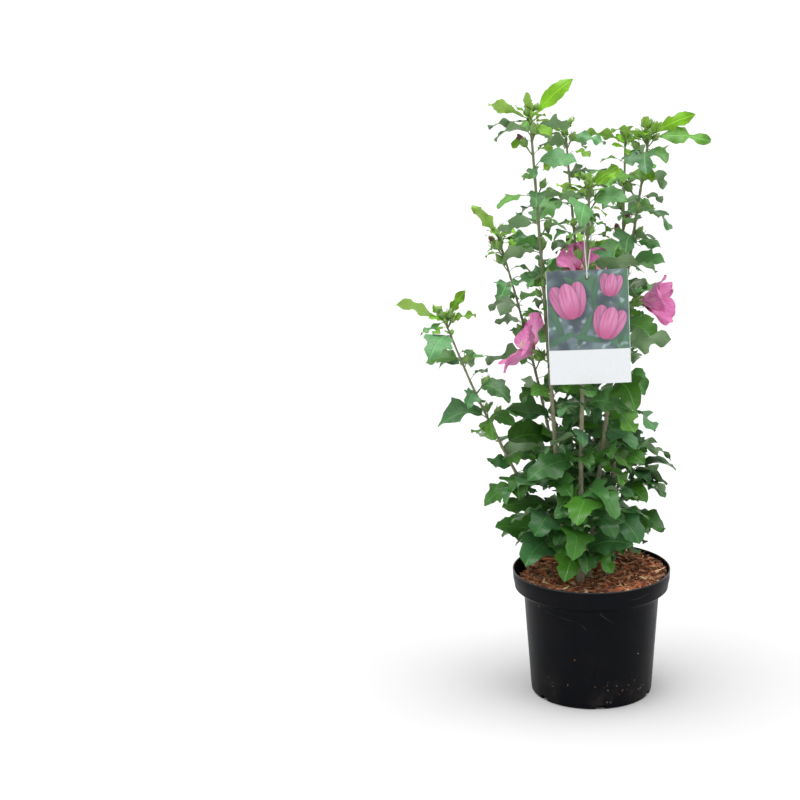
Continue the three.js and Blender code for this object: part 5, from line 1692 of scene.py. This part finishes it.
class SHRUB_OT_label(bpy.types.Operator):
    """Make the label's card and the tie that it hangs on"""

    bl_idname = "shrub.label"
    bl_label = "Label"

    def execute(self, context):
        settings = context.scene.shrub_label
        self.card(settings)
        self.tie(settings)
        return {"FINISHED"}

    def card(self, settings):
        """A sheet between two outlines: a point at share s lies between the punched hole's circle and the
        card's edge in the same direction. The sheet bows back towards its sides as a parabola."""
        hole = np.array([0.0, -CARD_HOLE_DROP])
        corners = np.array([(-1, 0), (1, 0), (1, -1), (-1, -1)]) * (CARD_WIDTH / 2, CARD_HEIGHT) - hole
        corner_angles = np.arctan2(corners[:, 1], corners[:, 0])
        angle = np.sort(np.concatenate([np.linspace(-math.pi, math.pi, 96, endpoint=False), corner_angles]))
        c, s = np.cos(angle), np.sin(angle)
        to_side = (CARD_WIDTH / 2) / np.maximum(np.abs(c), 1e-9)
        to_top = np.where(s > 0, CARD_HOLE_DROP, CARD_HEIGHT - CARD_HOLE_DROP) / np.maximum(np.abs(s), 1e-9)
        edge = np.minimum(to_side, to_top)
        share = np.concatenate([[0], np.linspace(0.02, 1, 16) ** 1.4])[:, None]
        reach = CARD_HOLE * (1 - share) + edge * share
        x, z = hole[0] + reach * c, hole[1] + reach * s
        bow = settings.bow / MM * (2 * x / CARD_WIDTH) ** 2 * np.clip(-z / CARD_STRAIGHT, 0, 1)
        front, back = bow - CARD_THICK / 2, bow + CARD_THICK / 2
        sheets = [np.stack([x, front, z], -1), np.stack([x, back, z], -1)[::-1]]
        flat = np.stack([x, z], -1) / CARD_HEIGHT
        ring = np.concatenate([sheets[0], sheets[1], sheets[0][:1]])
        blank = np.full(flat.shape, PRINT_BLANK)
        uv = np.concatenate([flat, blank, flat[:1]])
        cos, sin = math.cos(CARD_TILT), math.sin(CARD_TILT)
        place = np.stack([
            CARD_CENTRE + ring[..., 0] * cos - ring[..., 2] * sin,
            CARD_PLANE - CARD_THICK / 2 + ring[..., 1],
            CARD_TOP + ring[..., 0] * sin + ring[..., 2] * cos,
        ], -1)
        piece = Shape().grids(place[None], wrap=True, uv=uv).build("label_card", smooth=False)
        close_poles(piece)
        dress(piece, card_finish(settings), "label_card", "label_card")

    def tie(self, settings):
        """A closed tube along a loop: through the hole at its foot, and round the back of the stem at its
        head."""
        low = np.array([
            CARD_CENTRE + CARD_HOLE_DROP * math.sin(CARD_TILT), CARD_PLANE - CARD_THICK / 2,
            CARD_TOP - CARD_HOLE_DROP * math.cos(CARD_TILT),
        ])
        t = share_at(LABEL_STEM, low[2] + TIE_HEIGHT)
        high = route(LABEL_STEM, t)
        behind = girth(LABEL_STEM, t) + TIE_RADIUS + 2 * CLEAR
        angle = np.linspace(0, TURN, 96, endpoint=False)
        share = (1 - np.cos(angle)) / 2
        sideways = TIE_HALF_WIDTH * np.sin(angle) * share
        through = TIE_HALF_DEPTH * np.sin(angle) * (1 - share)
        wrap = behind * np.maximum(0, -np.cos(angle)) ** 3
        path = low * (1 - share[:, None]) + high * share[:, None]
        path = path + np.stack([sideways, through + wrap, np.zeros_like(angle)], -1)
        along = unit(np.roll(path, -1, 0) - np.roll(path, 1, 0))
        centre = path.mean(axis=0)
        outward = unit(np.cross(along, np.cross(path - centre, along) + 1e-6))
        other = np.cross(along, outward)
        ring = np.linspace(0, TURN, 10, endpoint=False)
        points = path[:, None] + TIE_RADIUS * (
            outward[:, None] * np.cos(ring)[None, :, None] + other[:, None] * np.sin(ring)[None, :, None])
        points = np.concatenate([points, points[:1]])
        piece = Shape().grids(points[None], wrap=True).build("label_tie")
        close_poles(piece, 1e-5)
        finish = mottled_finish("tie_plastic", settings.tie, 90.0, 0.06, 0.4)
        dress(piece, finish, "label_tie", "label_tie")


class SHRUB_OT_stage(bpy.types.Operator):
    """Set up the camera, the soft light and the pale floor"""

    bl_idname = "shrub.stage"
    bl_label = "Stage"

    def execute(self, context):
        settings = context.scene.shrub_stage
        self.camera(context.scene, settings)
        self.floor(settings)
        self.light(context.scene, settings)
        context.scene.view_settings.view_transform = "Standard"
        return {"FINISHED"}

    def camera(self, scene, settings):
        """A camera in front of the pot. It turns left, down, and about its own view."""
        camera = bpy.data.cameras.new("camera")
        camera.lens = settings.lens
        camera.sensor_width = 36
        camera.clip_end = 200
        view = bpy.data.objects.new("camera", camera)
        view.location = (0, -settings.distance, settings.height)
        level = Matrix.Rotation(settings.yaw, 3, "Z") @ Matrix.Rotation(math.pi / 2 - settings.pitch, 3, "X")
        view.rotation_euler = (level @ Matrix.Rotation(settings.roll, 3, "Z")).to_euler()
        scene.collection.objects.link(view)
        scene.camera = view

    def floor(self, settings):
        """A wide pale floor just under the pot."""
        corners = np.array([[[-1, -1, 0], [1, -1, 0]], [[-1, 1, 0], [1, 1, 0]]], float) * FLOOR_HALF
        piece = Shape().grids(corners[None] - (0, 0, FLOOR_DROP)).build("floor")
        made, t, shader = material("floor_pale", Roughness=0.9, Specular_IOR_Level=0.1)
        t.put(shader.inputs["Base Color"], settings.floor)
        piece.data.materials.append(made)

    def light(self, scene, settings):
        """An even white sky, and the soft suns."""
        world = bpy.data.worlds.new("studio")
        world.use_nodes = True
        back = world.node_tree.nodes["Background"]
        back.inputs[0].default_value = (1, 1, 1, 1)
        back.inputs[1].default_value = settings.sky
        scene.world = world
        for name, place in SUNS.items():
            sun = bpy.data.lights.new(name, "SUN")
            sun.energy = getattr(settings, name)
            sun.angle = settings.spread
            lamp = bpy.data.objects.new(name, sun)
            lamp.location = place
            lamp.rotation_euler = (Vector(SUN_AIM) - Vector(place)).to_track_quat("-Z", "Y").to_euler()
            scene.collection.objects.link(lamp)


class SHRUB_PT_panel(bpy.types.Panel):
    """Lists the shrub's pieces"""

    bl_label = "Potted shrub"
    bl_idname = "SHRUB_PT_panel"
    bl_space_type = "VIEW_3D"
    bl_region_type = "UI"
    bl_category = "Shrub"

    def draw(self, context):
        for operator in OPERATORS:
            self.layout.operator(operator.bl_idname)
        for name, group in SETTINGS.items():
            box = self.layout.box()
            box.label(text=group.__doc__)
            for key in group.__annotations__:
                box.prop(getattr(context.scene, name), key)


SETTINGS = {
    "shrub_pot": ShrubPotSettings,
    "shrub_mulch": ShrubMulchSettings,
    "shrub_stems": ShrubStemSettings,
    "shrub_leaves": ShrubLeafSettings,
    "shrub_flowers": ShrubFlowerSettings,
    "shrub_label": ShrubLabelSettings,
    "shrub_stage": ShrubStageSettings,
}
OPERATORS = (
    SHRUB_OT_stage, SHRUB_OT_pot, SHRUB_OT_mulch, SHRUB_OT_stems, SHRUB_OT_leaves, SHRUB_OT_buds,
    SHRUB_OT_flowers, SHRUB_OT_label,
)


def register():
    for made in (*SETTINGS.values(), *OPERATORS, SHRUB_PT_panel):
        bpy.utils.register_class(made)
    for name, group in SETTINGS.items():
        setattr(bpy.types.Scene, name, PointerProperty(type=group))


def unregister():
    for name in SETTINGS:
        delattr(bpy.types.Scene, name)
    for made in reversed((*SETTINGS.values(), *OPERATORS, SHRUB_PT_panel)):
        bpy.utils.unregister_class(made)


def main():
    """Registers the classes, makes the shader groups, and makes the pieces in order."""
    register()
    mottle_group()
    specks_group()
    veins_group()
    for operator in OPERATORS:
        module, name = operator.bl_idname.split(".")
        getattr(getattr(bpy.ops, module), name)()


if __name__ == "__main__":
    main()
